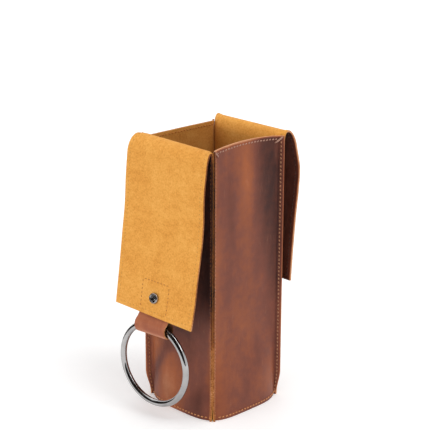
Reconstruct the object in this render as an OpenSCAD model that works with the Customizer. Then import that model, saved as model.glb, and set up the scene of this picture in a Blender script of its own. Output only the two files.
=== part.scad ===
// Leather bottle carrier. Four sewn walls and a tray base make a tall square pocket. The two side
// walls run on past the rim, fold outwards and hang down as flaps. Each flap ends in a sewn tab
// that holds a steel carrying ring, and a snap joins the two flaps when they are raised.
// The front wall faces -Y, the left flap hangs at -X and the right flap at +X.

/* [Leather] */
// Thickness of the body and flap leather
leather_t = 2; // [1.4:0.1:2.4]
// Thickness of the leather of the ring tabs
tab_t = 1.6; // [1.2:0.1:2]
// Gap between two leather faces that are sewn together
seam_gap = 0.1; // [0.05:0.05:0.2]

/* [Thread] */
// Width of a stitched line
thread_w = 0.9; // [0.5:0.1:1.4]
// Height of a stitched line above the leather
thread_t = 0.4; // [0.2:0.1:0.6]
// Distance of a corner stitch line from the raw edge
seam_inset = 3.3; // [2.5:0.1:4.5]
// Distance of the base stitch line above the floor
base_inset = 3; // [2:0.5:5]
// Distance of the rim stitch line below the rim
rim_inset = 3; // [2:0.5:6]
// Distance of the flap stitch line from the edges of the flap
flap_inset = 4; // [2:0.5:7]
// Distance of the tab stitch line from the edges of the tab
tab_inset = 2; // [1.5:0.5:4]

/* [Body] */
// Width of the square body across two opposite walls
body_w = 86; // [76:1:100]
// Height of the body at its corners
body_h = 258; // [220:1:290]
// Depth of the raw edge that stands out at each corner, from the fold of the wall to the edge
seam_w = 6.7; // [5.5:0.1:8]
// Rise of the front rim at mid width
front_rim_crown = 2.4; // [0:0.2:6]
// Rise of the back rim at mid width
back_rim_crown = 0.8; // [0:0.2:6]
// How far the front and back rims lean inwards at mid width
rim_lean = 2; // [0:0.5:4]
// Height over which the rims lean
rim_lean_h = 40; // [20:1:60]

/* [Foot] */
// Width across two opposite walls at mid width on the floor
foot_w = 103.4; // [96:0.2:112]
// Height above the floor at which the walls are flat again
foot_h = 78; // [50:1:100]
// Depth that each corner seam keeps where it meets the floor
foot_seam_w = 3.5; // [2.5:0.1:4.5]
// Height over which the tips of the corner seams run in or out to the floor
pull_h = 25; // [15:1:40]
// Height of the turned-up edge of the base
base_rim_h = 8; // [6:0.5:12]
// Gap between the base and the walls around it
base_gap = 0.4; // [0.3:0.05:0.6]

/* [Folds] */
// Depth below the rim at which a side wall starts to fold
fold_drop = 8; // [5:0.5:12]
// Depth below the rim at which the fold ends and the flap starts
flap_start_drop = 13; // [10:0.5:18]
// Reach of the left fold at the end next to the front wall
left_fold_near = 12.5; // [10:0.5:20]
// Reach of the left fold at the end next to the back wall
left_fold_far = 17; // [14:0.5:26]
// Reach of the right fold at the end next to the front wall
right_fold_near = 18; // [14:0.5:26]
// Reach of the right fold at the end next to the back wall
right_fold_far = 19.5; // [14:0.5:26]
// Slit at either end of a fold
fold_slit = 0.3; // [0.2:0.1:0.5]

/* [Flaps] */
// Height of the left flap from its start down to its end, at mid width
left_flap_drop = 144.2; // [130:0.2:155]
// How much further down the left flap ends next to the front wall than at mid width
left_flap_slant = 2.2; // [0:0.2:4]
// Height of the right flap from its start down to its end
right_flap_drop = 131; // [120:1:150]

/* [Tabs] */
// Width of a ring tab
tab_w = 36; // [30:1:42]
// Length of the tab that is sewn to the flap
tab_sewn = 30; // [24:1:40]
// Distance of the middle of the ring loop below the end of the flap
loop_drop = 10.4; // [10:0.2:14]

/* [Rings] */
// Thickness of the ring wire
ring_wire = 6; // [4.5:0.1:6.5]
// Diameter of the ring along the middle of its wire
ring_d = 77.8; // [70:0.2:82]
// Distance of the left ring from the wall behind its lowest point
left_ring_gap = 22; // [18:0.5:30]
// Distance of the right ring from the wall behind its lowest point
right_ring_gap = 2.5; // [2:0.1:8]
// Clearance of the ring in its loop
ring_clear = 0.7; // [0.5:0.05:0.9]
// Swing that the loop leaves room for, each way, in degrees
ring_swing = 20; // [10:1:25]
// Turn of the left ring and its loop about the vertical, in degrees
left_ring_angle = 5.4; // [-6:0.2:8]
// Turn of the right ring and its loop about the vertical, in degrees
right_ring_angle = -8; // [-9:0.2:6]

/* [Snap] */
// Height of the snap above the end of the flap
snap_up = 17; // [14:0.5:20]
// Diameter of the shank that passes through the leather
snap_shank_d = 3.8; // [3:0.1:4.4]
// Clearance round the shank and between snap pieces
snap_clear = 0.1; // [0.05:0.05:0.2]
// Diameter of the cap
snap_cap_d = 12.5; // [10:0.1:14]
// Height of the domed cap
snap_cap_h = 2.2; // [1.5:0.1:3]
// Outer diameter of the socket
snap_socket_d = 10.4; // [9.6:0.1:12]
// Height of the socket
snap_socket_h = 2.8; // [2.5:0.1:3.4]
// Diameter of the knob that the socket grips
snap_knob_d = 5.8; // [5.4:0.1:6.2]
// Height of the knob above its foot
snap_knob_h = 2.2; // [1.8:0.1:2.6]
// Thickness of the sheet metal of the snap
snap_sheet = 0.6; // [0.4:0.1:0.7]
// Thickness of the wire of the snap spring
snap_wire = 0.7; // [0.5:0.1:0.8]

/* [Hidden] */
$fn = 64;

// Sides, each named by its turn from the front. A corner has the angle of the side before it
front_angle = 0;
right_angle = 90;
back_angle = 180;
left_angle = 270;
side_angle = 90;

// Diagonal reach of each corner on the floor as a share of half the foot: front right,
// back right, back left, front left
foot_corner_shares = [0.809, 0.809, 0.787, 0.858];

// Outward distance of a flap's middle layer from the wall plane at equal steps down the flap,
// as shares of body_w, at the edge next to the front wall and the edge next to the back wall
left_near_shares = [0.143, 0.179, 0.187, 0.215, 0.265, 0.307, 0.364];
left_far_shares = [0.241, 0.269, 0.287, 0.324, 0.36, 0.398, 0.437];
right_near_shares = [0.211, 0.267, 0.253, 0.222, 0.197, 0.176, 0.158];
right_far_shares = [0.211, 0.262, 0.25, 0.226, 0.201, 0.183, 0.169];

// Layers of a corner seam lie this far from the diagonal, measured along each axis
seam_off = (leather_t + seam_gap) / 2 / sqrt(2);
// Distance from the middle to the diagonal point where a flat wall turns into its seam edge
bend_top = body_w / 2 - leather_t / 2 - seam_off;
// The same for the tip of the seam edge
tip_top = bend_top + seam_w / sqrt(2);
wall_half = bend_top - seam_off;
flat_half = wall_half + seam_w;
wall_share = wall_half / flat_half;
// Middle layer of the walls at the floor
foot_mid = foot_w / 2 - leather_t / 2;
fold_z = body_h - fold_drop;
flap_z = body_h - flap_start_drop;
overrun = leather_t;

// Columns across a wall or flap, from one raw edge to the other, as shares of flat_half
wall_steps = 6;
last_column = wall_share * (1 - 1 / wall_steps / 2);
half_column_shares = concat(
    [for (i = [1:wall_steps - 1]) wall_share * i / wall_steps],
    [last_column, wall_share, (1 + wall_share) / 2, 1]
);
column_shares = concat(
    [for (i = [len(half_column_shares) - 1:-1:0]) -half_column_shares[i]],
    [0],
    half_column_shares
);
flat_column_shares = [for (v = column_shares) if (abs(v) < wall_share) v];

// Rows up a wall, closer together where it curves, as shares of body_h
foot_steps = 5;
lean_steps = 5;
row_shares = [for (z = concat(
    [0, base_rim_h],
    [for (i = [1:foot_steps]) mix(base_rim_h, foot_h, i / foot_steps)],
    [mix(foot_h, body_h - rim_lean_h, 1 / 2)],
    [for (i = [0:lean_steps]) mix(body_h - rim_lean_h, body_h, i / lean_steps)]
)) z / body_h];

// A corner stitch starts and ends this far inside the ends of its wall
seam_row_shares = concat(
    [base_inset / body_h],
    [for (h = row_shares) if (h > base_inset / body_h && h < 1 - rim_inset / body_h) h],
    [1 - rim_inset / body_h]
);

fold_steps = 9;
flap_steps = 12;
fold_row_shares = [for (j = [0:fold_steps]) j / fold_steps];

// Values of each flap, picked by its side
function near_sign(side) = side == left_angle ? 1 : -1;
function near_shares(side) = side == left_angle ? left_near_shares : right_near_shares;
function far_shares(side) = side == left_angle ? left_far_shares : right_far_shares;
function flap_drop(side) = side == left_angle ? left_flap_drop : right_flap_drop;
function flap_slant(side) = side == left_angle ? left_flap_slant : 0;
function fold_near(side) = side == left_angle ? left_fold_near : right_fold_near;
function fold_far(side) = side == left_angle ? left_fold_far : right_fold_far;
function rim_crown(side) = side == front_angle ? front_rim_crown : back_rim_crown;
function ring_turn(side) = side == left_angle ? left_ring_angle : right_ring_angle;
function ring_gap(side) = side == left_angle ? left_ring_gap : right_ring_gap;

function mix(a, b, t) = a + (b - a) * t;
function clamp01(t) = min(max(t, 0), 1);
function smooth(t) = let (c = clamp01(t)) c * c * (3 - 2 * c);

// Smooth curve through equally spaced values, straight on past its last one
function curve(values, t) = let (
    n = len(values) - 1,
    x = clamp01(t) * n,
    i = min(floor(x), n - 1),
    f = x - i,
    b = values[i],
    c = values[i + 1],
    a = i > 0 ? values[i - 1] : 2 * b - c,
    d = i < n - 1 ? values[i + 2] : 2 * c - b,
    beyond = max(t - 1, 0) * n * (values[n] - values[n - 1])
) beyond + 0.5 * (2 * b + (c - a) * f + (2 * a - 5 * b + 4 * c - d) * f * f
    + (3 * b - a - 3 * c + d) * f * f * f);

// Corner at the end of a side that v points to
function corner_of(side, v) = v >= 0 ? side : (side + left_angle) % 360;

// Diagonal distance at which a wall turns into its seam edge on the floor
function foot_bend(c) = foot_mid * foot_corner_shares[c / side_angle];

// Diagonal distance of the tip of a corner seam at height z
function tip_at(c, z) = mix(foot_bend(c) + foot_seam_w / sqrt(2), tip_top, smooth(z / pull_h));

// Exponent of the rounded square that the walls follow on the floor, for one corner
function foot_power(c) = -ln(2) / ln(foot_corner_shares[c / side_angle]);

// Share of the foot shape that a wall has at height z
function foot_share(z) = 1 - smooth((z - base_rim_h) / (foot_h - base_rim_h));

// Place along (u) and out of (n) a wall's middle layer, for half a side with v from 0 to 1
function half_section(c, v, z) = let (
    bend = mix(bend_top, foot_bend(c), foot_share(z)),
    w = min(v / wall_share, 1),
    foot_u = w * (foot_bend(c) - seam_off),
    foot_n = pow(pow(foot_mid, foot_power(c)) - pow(foot_u, foot_power(c)), 1 / foot_power(c)),
    f = max((v - wall_share) / (1 - wall_share), 0),
    s = mix(bend, tip_at(c, z), f)
) v > wall_share
    ? [s - seam_off, s + seam_off]
    : [mix(w * wall_half, foot_u, foot_share(z)), mix(bend_top + seam_off, foot_n, foot_share(z))];

// Point of a wall's middle layer, with the wall at the front
function wall_point(side, v, share) = let (
    plain = side == front_angle || side == back_angle,
    arch = 1 - pow(min(abs(v) / wall_share, 1), 2),
    z = share * (plain ? body_h + rim_crown(side) * arch : fold_z),
    q = half_section(corner_of(side, v), abs(v), z),
    lean = plain ? rim_lean * arch * smooth((z - body_h + rim_lean_h) / rim_lean_h) : 0
) [sign(v) * q[0], lean - q[1], z];

// Point of a flap's middle layer, t from its start to its end
function flap_point(side, v, t) = let (
    near = (1 + v * near_sign(side)) / 2,
    out = mix(curve(far_shares(side), t), curve(near_shares(side), t), near),
    drop = flap_drop(side) + flap_slant(side) * v * near_sign(side)
) [v * flat_half, -body_w * (1 / 2 + out), flap_z - t * drop];

// Point of a fold's middle layer, t from the wall to the flap. It leaves the wall straight up
// and meets the flap in line with the flap's first part
function fold_point(side, v, t) = let (
    near = (1 + v * near_sign(side)) / 2,
    reach = mix(fold_far(side), fold_near(side), near),
    a = wall_point(side, v, 1) + [0, 0, fold_slit],
    b = flap_point(side, v, 0) + [0, 0, fold_slit],
    rise = flap_point(side, v, 0) - flap_point(side, v, 1 / flap_steps),
    a_arm = [0, 0, reach],
    b_arm = rise / norm(rise) * reach,
    s = 1 - t
) s * s * s * a + 3 * s * s * t * (a + a_arm) + 3 * s * t * t * (b + b_arm) + t * t * t * b;

// The ring's wire drops by this much from the middle of the tab to its edge
ring_sag = (ring_d - sqrt(ring_d * ring_d - tab_w * tab_w)) / 2;
ring_hang = (ring_d - ring_sag) / 2;

// Place in a loop: its middle at distance u along the loop. The ring clears the wall behind its
// lowest point and behind its side that turns towards the wall
function loop_middle(side, u) = let (
    z = flap_z - flap_drop(side) - loop_drop,
    low_wall = half_section(side, 0, z - ring_hang - ring_d / 2)[1],
    side_wall = half_section(side, 0, z - ring_hang)[1] + ring_d / 2 * sin(abs(ring_turn(side))),
    out = max(low_wall, side_wall) + leather_t / 2 + ring_gap(side) + ring_wire / 2
) [u, u * tan(ring_turn(side)) - out, z];

ring_slope = asin(tab_w / ring_d);
loop_high_in = ring_wire / 2 / cos(ring_slope) + ring_sag / 2 + ring_clear;
loop_wide_in = (ring_wire / 2 + ring_clear + ring_sag / 2 * sin(ring_swing))
    / sqrt(1 - pow(ring_sag / 2 / loop_high_in, 2));
// Place of the loop's two ends, in degrees from its top
loop_open_angle = 30;
loop_steps = 18;
tab_rows = 5;
tab_columns = 5;

// Direction square to a flap's middle layer, towards the grain side
function flap_normal(side, v, t) = let (
    p = flap_point(side, v, t),
    across = flap_point(side, v + 1 / flap_steps, t) - p,
    down = flap_point(side, v, t + 1 / flap_steps) - p,
    n = cross(across, down)
) n / norm(n);

// A point of a tab that lies on the grain side of its flap, at a depth below the middle layer
function under_flap(side, v, t, depth) = flap_point(side, v, t) + flap_normal(side, v, t) * depth;

// Middle layer of a tab: down under the flap, round the ring and back up on itself
function tab_path(side, v) = let (
    outer = (leather_t + tab_t) / 2 + seam_gap,
    inner = outer + tab_t + seam_gap,
    start = 1 - tab_sewn / flap_drop(side),
    end = 1 + tab_t / flap_drop(side),
    middle = loop_middle(side, v * flat_half),
    up = under_flap(side, v, end, (outer + inner) / 2) - middle,
    high = up / norm(up) * (loop_high_in + tab_t / 2),
    wide = cross(high, [1, 0, 0]) / norm(high) * (loop_wide_in + tab_t / 2)
) concat(
    [for (i = [0:tab_rows]) under_flap(side, v, mix(start, end, i / tab_rows), outer)],
    [for (i = [0:loop_steps]) let (a = mix(loop_open_angle, 360 - loop_open_angle, i / loop_steps))
        middle - wide * sin(a) + high * cos(a)],
    [for (i = [tab_rows:-1:0]) under_flap(side, v, mix(start, end, i / tab_rows), inner)]
);

// Direction square to a grid of points at column i and row j, towards the grain side
function grid_normal(grid, i, j) = let (
    across = grid[min(i + 1, len(grid) - 1)][j] - grid[max(i - 1, 0)][j],
    along = grid[i][min(j + 1, len(grid[i]) - 1)] - grid[i][max(j - 1, 0)],
    n = cross(across, along)
) n / norm(n);

// A sheet between two distances from the grid of points of its middle layer
module sheet(grid, low, high) {
    columns = len(grid);
    rows = len(grid[0]);
    count = columns * rows;
    top = [for (i = [0:columns - 1]) for (j = [0:rows - 1]) grid[i][j] + grid_normal(grid, i, j) * high];
    bottom = [for (i = [0:columns - 1]) for (j = [0:rows - 1]) grid[i][j] + grid_normal(grid, i, j) * low];
    edge = concat(
        [for (i = [0:columns - 2]) i * rows],
        [for (j = [0:rows - 2]) (columns - 1) * rows + j],
        [for (i = [columns - 1:-1:1]) i * rows + rows - 1],
        [for (j = [rows - 1:-1:1]) j]
    );
    quads = [for (i = [0:columns - 2]) for (j = [0:rows - 2]) let (a = i * rows + j)
        [a, a + 1, a + rows + 1, a + rows]];
    sides = [for (k = [0:len(edge) - 1]) let (a = edge[k], b = edge[(k + 1) % len(edge)])
        [a, b, b + count, a + count]];
    polyhedron(concat(top, bottom), concat(
        [for (q = quads) [q[0], q[1], q[2]]],
        [for (q = quads) [q[0], q[2], q[3]]],
        [for (q = quads) [q[2] + count, q[1] + count, q[0] + count]],
        [for (q = quads) [q[3] + count, q[2] + count, q[0] + count]],
        [for (q = sides) [q[0], q[1], q[2]]],
        [for (q = sides) [q[0], q[2], q[3]]]
    ));
}

module leather(grid, t = leather_t) {
    sheet(grid, -t / 2, t / 2);
}

// A stitched line on the grain side of a sheet, or on its flesh side
module stitch_line(grid, t = leather_t, flesh = false) {
    low = t / 2 + seam_gap;
    if (flesh) sheet(grid, -low - thread_t, -low);
    else sheet(grid, low, low + thread_t);
}

module at_side(side) {
    rotate([0, 0, side]) children();
}

module panel(side) {
    color("#8A4F38") at_side(side)
        leather([for (v = column_shares) [for (h = row_shares) wall_point(side, v, h)]]);
}

module fold(side) {
    color("#D99A45") at_side(side)
        leather([for (v = column_shares) [for (t = fold_row_shares) fold_point(side, v, t)]]);
}

// Frame of the snap on a flap: origin in the flap's middle layer, +Z out of the flesh side
module at_snap(side) {
    t = 1 - snap_up / flap_drop(side);
    n = -flap_normal(side, 0, t);
    at_side(side) translate(flap_point(side, 0, t))
        rotate([0, 0, atan2(n[0], -n[1])]) rotate([90 - asin(n[2]), 0, 0]) children();
}

// Depth of the leather stack under the snap, from the flap's middle layer to the inner tab face
stack_depth = leather_t / 2 + 2 * (tab_t + seam_gap);

module snap_hole(side) {
    at_snap(side) translate([0, 0, -stack_depth - overrun])
        cylinder(h = stack_depth + leather_t + 2 * overrun, d = snap_shank_d + 2 * snap_clear);
}

module flap(side) {
    color("#E3A24C") difference() {
        at_side(side) leather([for (v = column_shares)
            [for (j = [0:flap_steps]) flap_point(side, v, j / flap_steps)]]);
        snap_hole(side);
    }
}

module tab(side) {
    color("#9A5A3E") difference() {
        at_side(side) leather([for (i = [0:tab_columns - 1])
            tab_path(side, mix(-1, 1, i / (tab_columns - 1)) * tab_w / 2 / flat_half)], tab_t);
        snap_hole(side);
    }
}

// The ring hangs in its loop by the top of its wire
module ring(side) {
    color("#8E8F93") at_side(side)
        translate(loop_middle(side, 0) - [0, 0, ring_hang])
        rotate([0, 0, ring_turn(side)]) rotate([90, 0, 0])
        rotate_extrude($fn = 96) translate([ring_d / 2, 0]) circle(d = ring_wire, $fn = 32);
}

// Outline of the base: the rounded square inside the walls, with its middle at the origin
base_fit = leather_t + base_gap;
outline_steps = 16;
module base_outline(inset) {
    half = foot_w / 2 - base_fit - inset;
    polygon([for (side = [front_angle:side_angle:left_angle]) for (i = [0:outline_steps - 1]) let (
        p = 2 / foot_power(side),
        a = 90 * i / outline_steps,
        u = half * pow(sin(a), p),
        n = half * pow(cos(a), p)
    ) [cos(side) * u + sin(side) * n, sin(side) * u - cos(side) * n]]);
}

module base_panel() {
    color("#7A4531") difference() {
        linear_extrude(base_rim_h) base_outline(0);
        translate([0, 0, leather_t]) linear_extrude(base_rim_h) base_outline(leather_t);
    }
}

// Snap, grip half on the left flap: a cap outside, a socket with a ring spring inside
snap_face = leather_t / 2 + seam_gap;
snap_rolled_r = snap_shank_d / 2 + snap_sheet;

module snap_cap() {
    low = -stack_depth - seam_gap;
    dome_r = (pow(snap_cap_d / 2, 2) + pow(snap_cap_h, 2)) / 2 / snap_cap_h;
    color("#55524F") at_snap(left_angle) {
        intersection() {
            translate([0, 0, low - snap_cap_h + dome_r]) sphere(r = dome_r);
            translate([0, 0, low - snap_cap_h]) cylinder(h = snap_cap_h, d = snap_cap_d);
        }
        translate([0, 0, low]) cylinder(h = snap_face + snap_sheet + snap_clear - low, d = snap_shank_d);
        translate([0, 0, snap_face + snap_sheet + snap_clear])
            cylinder(h = snap_sheet / 2, r = snap_rolled_r);
    }
}

spring_r = (snap_knob_d + snap_wire) / 2;
spring_z = snap_face + snap_socket_h - snap_sheet - snap_wire;

module snap_socket() {
    mouth_r = snap_knob_d / 2 + snap_clear;
    groove_r = spring_r + snap_wire / 2 + snap_clear;
    groove_low = spring_z - snap_wire / 2 - snap_clear;
    groove_high = spring_z + snap_wire / 2 + snap_clear;
    top = snap_face + snap_socket_h;
    color("#6B6865") at_snap(left_angle) rotate_extrude() polygon([
        [snap_shank_d / 2 + snap_clear, snap_face],
        [snap_socket_d / 2, snap_face],
        [snap_socket_d / 2, top - snap_sheet],
        [snap_socket_d / 2 - snap_sheet, top],
        [mouth_r, top],
        [mouth_r, groove_high],
        [groove_r, groove_high],
        [groove_r, groove_low],
        [mouth_r, groove_low],
        [mouth_r, snap_face + snap_sheet],
        [snap_shank_d / 2 + snap_clear, snap_face + snap_sheet]
    ]);
}

// The spring is an open ring of wire that lies in the socket's groove
module snap_spring() {
    open_angle = 40;
    color("#C9CACC") at_snap(left_angle) translate([0, 0, spring_z])
        rotate([0, 0, open_angle / 2])
        rotate_extrude(angle = 360 - open_angle) translate([spring_r, 0]) circle(d = snap_wire, $fn = 16);
}

// Snap, knob half on the right flap: a knob inside, held by a post from outside
module snap_stud() {
    bore_r = snap_shank_d / 2 + snap_clear;
    top = snap_face + snap_sheet + snap_knob_h;
    neck_r = snap_knob_d / 2 - snap_sheet / 2;
    color("#6B6865") at_snap(right_angle) rotate_extrude() polygon([
        [bore_r, snap_face],
        [snap_socket_d / 2, snap_face],
        [snap_socket_d / 2, snap_face + snap_sheet / 2],
        [snap_socket_d / 2 - snap_sheet / 2, snap_face + snap_sheet],
        [neck_r, snap_face + snap_sheet],
        [neck_r, top - 2 * snap_sheet],
        [snap_knob_d / 2, top - snap_sheet],
        [snap_knob_d / 2 - snap_sheet / 2, top],
        [bore_r, top]
    ]);
}

module snap_post() {
    low = -stack_depth - seam_gap;
    top = snap_face + snap_sheet + snap_knob_h;
    color("#55524F") at_snap(right_angle) {
        translate([0, 0, low - snap_sheet]) cylinder(h = snap_sheet, d = snap_socket_d);
        translate([0, 0, low]) cylinder(h = top + snap_clear - low, d = snap_shank_d);
        translate([0, 0, top + snap_clear]) cylinder(h = snap_sheet / 2, d = snap_knob_d - snap_sheet);
    }
}

// Band of columns round share v, as wide as a stitched line
function thread_columns(v) = [v - thread_w / 2 / flat_half, v + thread_w / 2 / flat_half];

// Rows round a length from the end of something that is size long
function thread_rows(at, size) = [(at - thread_w / 2) / size, (at + thread_w / 2) / size];

module corner_seam(c) {
    v = mix(wall_share, 1, 1 - seam_inset / seam_w);
    color("#D08A55") {
        at_side(c) stitch_line([for (a = thread_columns(v))
            [for (h = seam_row_shares) wall_point(c, a, h)]]);
        at_side(c + side_angle) stitch_line([for (a = thread_columns(-v))
            [for (h = seam_row_shares) wall_point((c + side_angle) % 360, a, h)]]);
    }
}

module base_seam() {
    color("#D08A55") for (side = [front_angle:side_angle:left_angle]) at_side(side)
        stitch_line([for (v = flat_column_shares)
            [for (h = thread_rows(base_inset, body_h)) wall_point(side, v, h)]]);
}

module rim_stitch(side) {
    grid = [for (v = flat_column_shares)
        [for (h = thread_rows(body_h - rim_inset, body_h)) wall_point(side, v, h)]];
    color("#D08A55") at_side(side) {
        stitch_line(grid);
        stitch_line(grid, flesh = true);
    }
}

// Two lines down a flap and one across its end, on both faces. The tab covers part of the end line
module flap_stitch(side) {
    last = 1 - flap_inset / flap_drop(side);
    v = 1 - flap_inset / flat_half;
    tab_v = (tab_w / 2 + thread_w) / flat_half;
    ends = thread_rows(flap_drop(side) - flap_inset, flap_drop(side));
    rows = concat([for (j = [0:flap_steps]) if (j / flap_steps < last) j / flap_steps], [last]);
    color("#B9783C") at_side(side) {
        for (flesh = [false, true]) for (s = [-v, v])
            stitch_line([for (a = thread_columns(s)) [for (t = rows) flap_point(side, a, t)]],
                flesh = flesh);
        stitch_line([for (a = concat([-v], flat_column_shares, [v]))
            [for (t = ends) flap_point(side, a, t)]], flesh = true);
        for (columns = [[-v, -last_column, -tab_v], [tab_v, last_column, v]])
            stitch_line([for (a = columns) [for (t = ends) flap_point(side, a, t)]]);
    }
}

// Box of stitches that holds a tab, seen on the flesh side of its flap
module tab_stitch(side) {
    half = (tab_w / 2 - tab_inset) / flat_half;
    low = flap_drop(side) - flap_inset - thread_w;
    high = flap_drop(side) - tab_sewn + tab_inset;
    color("#B9783C") at_side(side) {
        for (v = [-half, half]) stitch_line([for (a = thread_columns(v))
            [for (j = [0:2]) flap_point(side, a, mix(high, low, j / 2) / flap_drop(side))]], flesh = true);
        stitch_line([for (a = [-half, 0, half])
            [for (t = thread_rows(high, flap_drop(side))) flap_point(side, a, t)]], flesh = true);
    }
}

panel(front_angle);  // front_panel
panel(right_angle);  // right_panel
panel(back_angle);  // back_panel
panel(left_angle);  // left_panel
base_panel();
fold(left_angle);  // left_fold
fold(right_angle);  // right_fold
flap(left_angle);  // left_flap
flap(right_angle);  // right_flap
tab(left_angle);  // left_tab
tab(right_angle);  // right_tab
ring(left_angle);  // left_ring
ring(right_angle);  // right_ring
snap_cap();
snap_socket();
snap_spring();
snap_stud();
snap_post();
corner_seam(front_angle);  // front_right_seam
corner_seam(right_angle);  // back_right_seam
corner_seam(back_angle);  // back_left_seam
corner_seam(left_angle);  // front_left_seam
base_seam();
rim_stitch(front_angle);  // front_rim_stitch
rim_stitch(back_angle);  // back_rim_stitch
flap_stitch(left_angle);  // left_flap_stitch
flap_stitch(right_angle);  // right_flap_stitch
tab_stitch(left_angle);  // left_tab_stitch
tab_stitch(right_angle);  // right_tab_stitch
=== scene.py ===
"""Leather bottle carrier: a tall square pocket with two folded-out flaps, ring tabs and a snap.

Lengths in the classes below are millimetres in the row frame: front wall towards -Y, left flap at
-X, right flap at +X, floor at z = 0. Meshes are made in metres. A wall's surface is worked out at
the front, with its grain side towards -Y, and turned to its side. There v runs across it from -1
to 1, and run along it: 0 to 1 is the wall, 1 to 2 the fold and 2 to 3 the flap.
"""

import logging
import math
from collections.abc import Callable, Sequence
from dataclasses import dataclass, field
from enum import Enum
from functools import partial

import bmesh
import bpy
from mathutils import Matrix, Vector, noise


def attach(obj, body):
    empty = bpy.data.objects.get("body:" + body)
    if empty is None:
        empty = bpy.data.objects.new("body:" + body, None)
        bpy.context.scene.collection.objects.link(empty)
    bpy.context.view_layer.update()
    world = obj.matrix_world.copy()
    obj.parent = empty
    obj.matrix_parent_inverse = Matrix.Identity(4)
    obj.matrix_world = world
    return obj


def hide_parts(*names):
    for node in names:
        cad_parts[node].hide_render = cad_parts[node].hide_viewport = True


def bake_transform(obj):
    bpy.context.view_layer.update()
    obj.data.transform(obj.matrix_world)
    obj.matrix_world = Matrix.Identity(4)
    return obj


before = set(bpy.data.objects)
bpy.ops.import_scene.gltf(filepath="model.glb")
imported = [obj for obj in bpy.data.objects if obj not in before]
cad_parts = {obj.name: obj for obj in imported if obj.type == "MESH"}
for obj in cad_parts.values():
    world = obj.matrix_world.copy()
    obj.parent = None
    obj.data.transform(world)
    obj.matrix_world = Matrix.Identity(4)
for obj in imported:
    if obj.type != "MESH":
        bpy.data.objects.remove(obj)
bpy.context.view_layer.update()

LOG = logging.getLogger("bottle_carrier")
MM = 0.001
CUT_MAP = "cut"
CUT_UNIT = 100.0
MERGE = 1e-4

Surface = Callable[[float, float], Vector]
Tone = Callable[[float, float], float]
Inputs = dict[str | int, object]


class Side(Enum):
    """A wall of the carrier, by its turn about the vertical from the front, in degrees."""

    FRONT = 0
    RIGHT = 90
    BACK = 180
    LEFT = 270

    @property
    def word(self) -> str:
        """Its name as the pieces and nodes have it."""
        return self.name.lower()

    @property
    def plain(self) -> bool:
        """Whether its wall ends at the rim, with no flap."""
        return self in (Side.FRONT, Side.BACK)

    def beside(self, quarters: int) -> "Side":
        """The side that many quarter turns on, anticlockwise seen from above."""
        return Side((self.value + 90 * quarters) % 360)

    def turn(self) -> Matrix:
        """The turn that takes a shape made at the front to this side."""
        return Matrix.Rotation(math.radians(self.value), 4, "Z")


class Face(Enum):
    """Which face of a leather sheet something lies on."""

    GRAIN = 1
    FLESH = -1


def mix(a: float, b: float, t: float) -> float:
    """The value at share t on the way from a to b."""
    return a + (b - a) * t


def rise(x: float, start: float, reach: float) -> float:
    """An eased share that is 0 up to start and 1 from reach past it."""
    t = min(max((x - start) / reach, 0.0), 1.0)
    return t * t * (3 - 2 * t)


def hump(x: float, middle: float, reach: float) -> float:
    """A soft bell that is 1 at its middle and fades out over about twice its reach."""
    return math.exp(-((x - middle) / reach) ** 2)


def bow(a: float | Vector, b: float | Vector, c: float | Vector, t: float) -> float | Vector:
    """Place at share t on the curve from a to c that b pulls towards itself."""
    return (1 - t) ** 2 * a + 2 * t * (1 - t) * b + t * t * c


@dataclass(frozen=True)
class Change:
    """An eased change from one value to another, over a reach past its start."""

    start: float
    reach: float
    before: float = 0.0
    after: float = 1.0

    def at(self, x: float) -> float:
        """The value at a place."""
        return mix(self.before, self.after, rise(x, self.start, self.reach))


def even_steps(start: float, end: float, count: int) -> list[float]:
    """Equal steps from start to end, both ends included."""
    return [mix(start, end, i / count) for i in range(count + 1)]


def grain_normal(surface: Surface, v: float, run: float) -> Vector:
    """Unit vector out of the grain side of a surface made at the front.

    Args:
        surface: gives the middle layer's point.
        v: place across.
        run: place along.

    Returns:
        The direction.
    """
    step = 0.004
    across = surface(v + step, run) - surface(v - step, run)
    along = surface(v, run + step) - surface(v, run - step)
    return across.cross(along).normalized()


def linear(hex_colour: str) -> tuple[float, float, float, float]:
    """Turn an sRGB hex colour to linear.

    Args:
        hex_colour: six hex digits.

    Returns:
        Linear red, green and blue, and 1 for alpha.
    """
    parts = [int(hex_colour[i:i + 2], 16) / 255 for i in (0, 2, 4)]
    r, g, b = (p / 12.92 if p <= 0.04045 else ((p + 0.055) / 1.055) ** 2.4 for p in parts)
    return r, g, b, 1.0


def add_node(tree: bpy.types.NodeTree, kind: str, inputs: Inputs | None = None,
             **settings: object) -> bpy.types.Node:
    """Add a node with its settings, values and links.

    Args:
        tree: the node tree it goes in.
        kind: the node's type, without the word ShaderNode.
        inputs: for each input, by name or number, its value, the socket that it is linked from, or
            the node whose first output it is linked from.
        settings: attributes of the node.

    Returns:
        The new node.
    """
    made = tree.nodes.new("ShaderNode" + kind)
    for key, value in settings.items():
        setattr(made, key, value)
    for key, value in (inputs or {}).items():
        source = value.outputs[0] if isinstance(value, bpy.types.Node) else value
        if isinstance(source, bpy.types.NodeSocket):
            tree.links.new(source, made.inputs[key])
        else:
            made.inputs[key].default_value = source
    return made


def set_ramp(ramp: bpy.types.Node, stops: Sequence[tuple[float, str]]) -> bpy.types.Node:
    """Give a colour ramp its stops.

    Args:
        ramp: a colour ramp node.
        stops: place and hex colour of each stop, in order.

    Returns:
        The ramp.
    """
    elements = ramp.color_ramp.elements
    while len(elements) < len(stops):
        elements.new(0.5)
    for element, (place, colour) in zip(elements, stops):
        element.position = place
        element.color = linear(colour)
    return ramp


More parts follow.
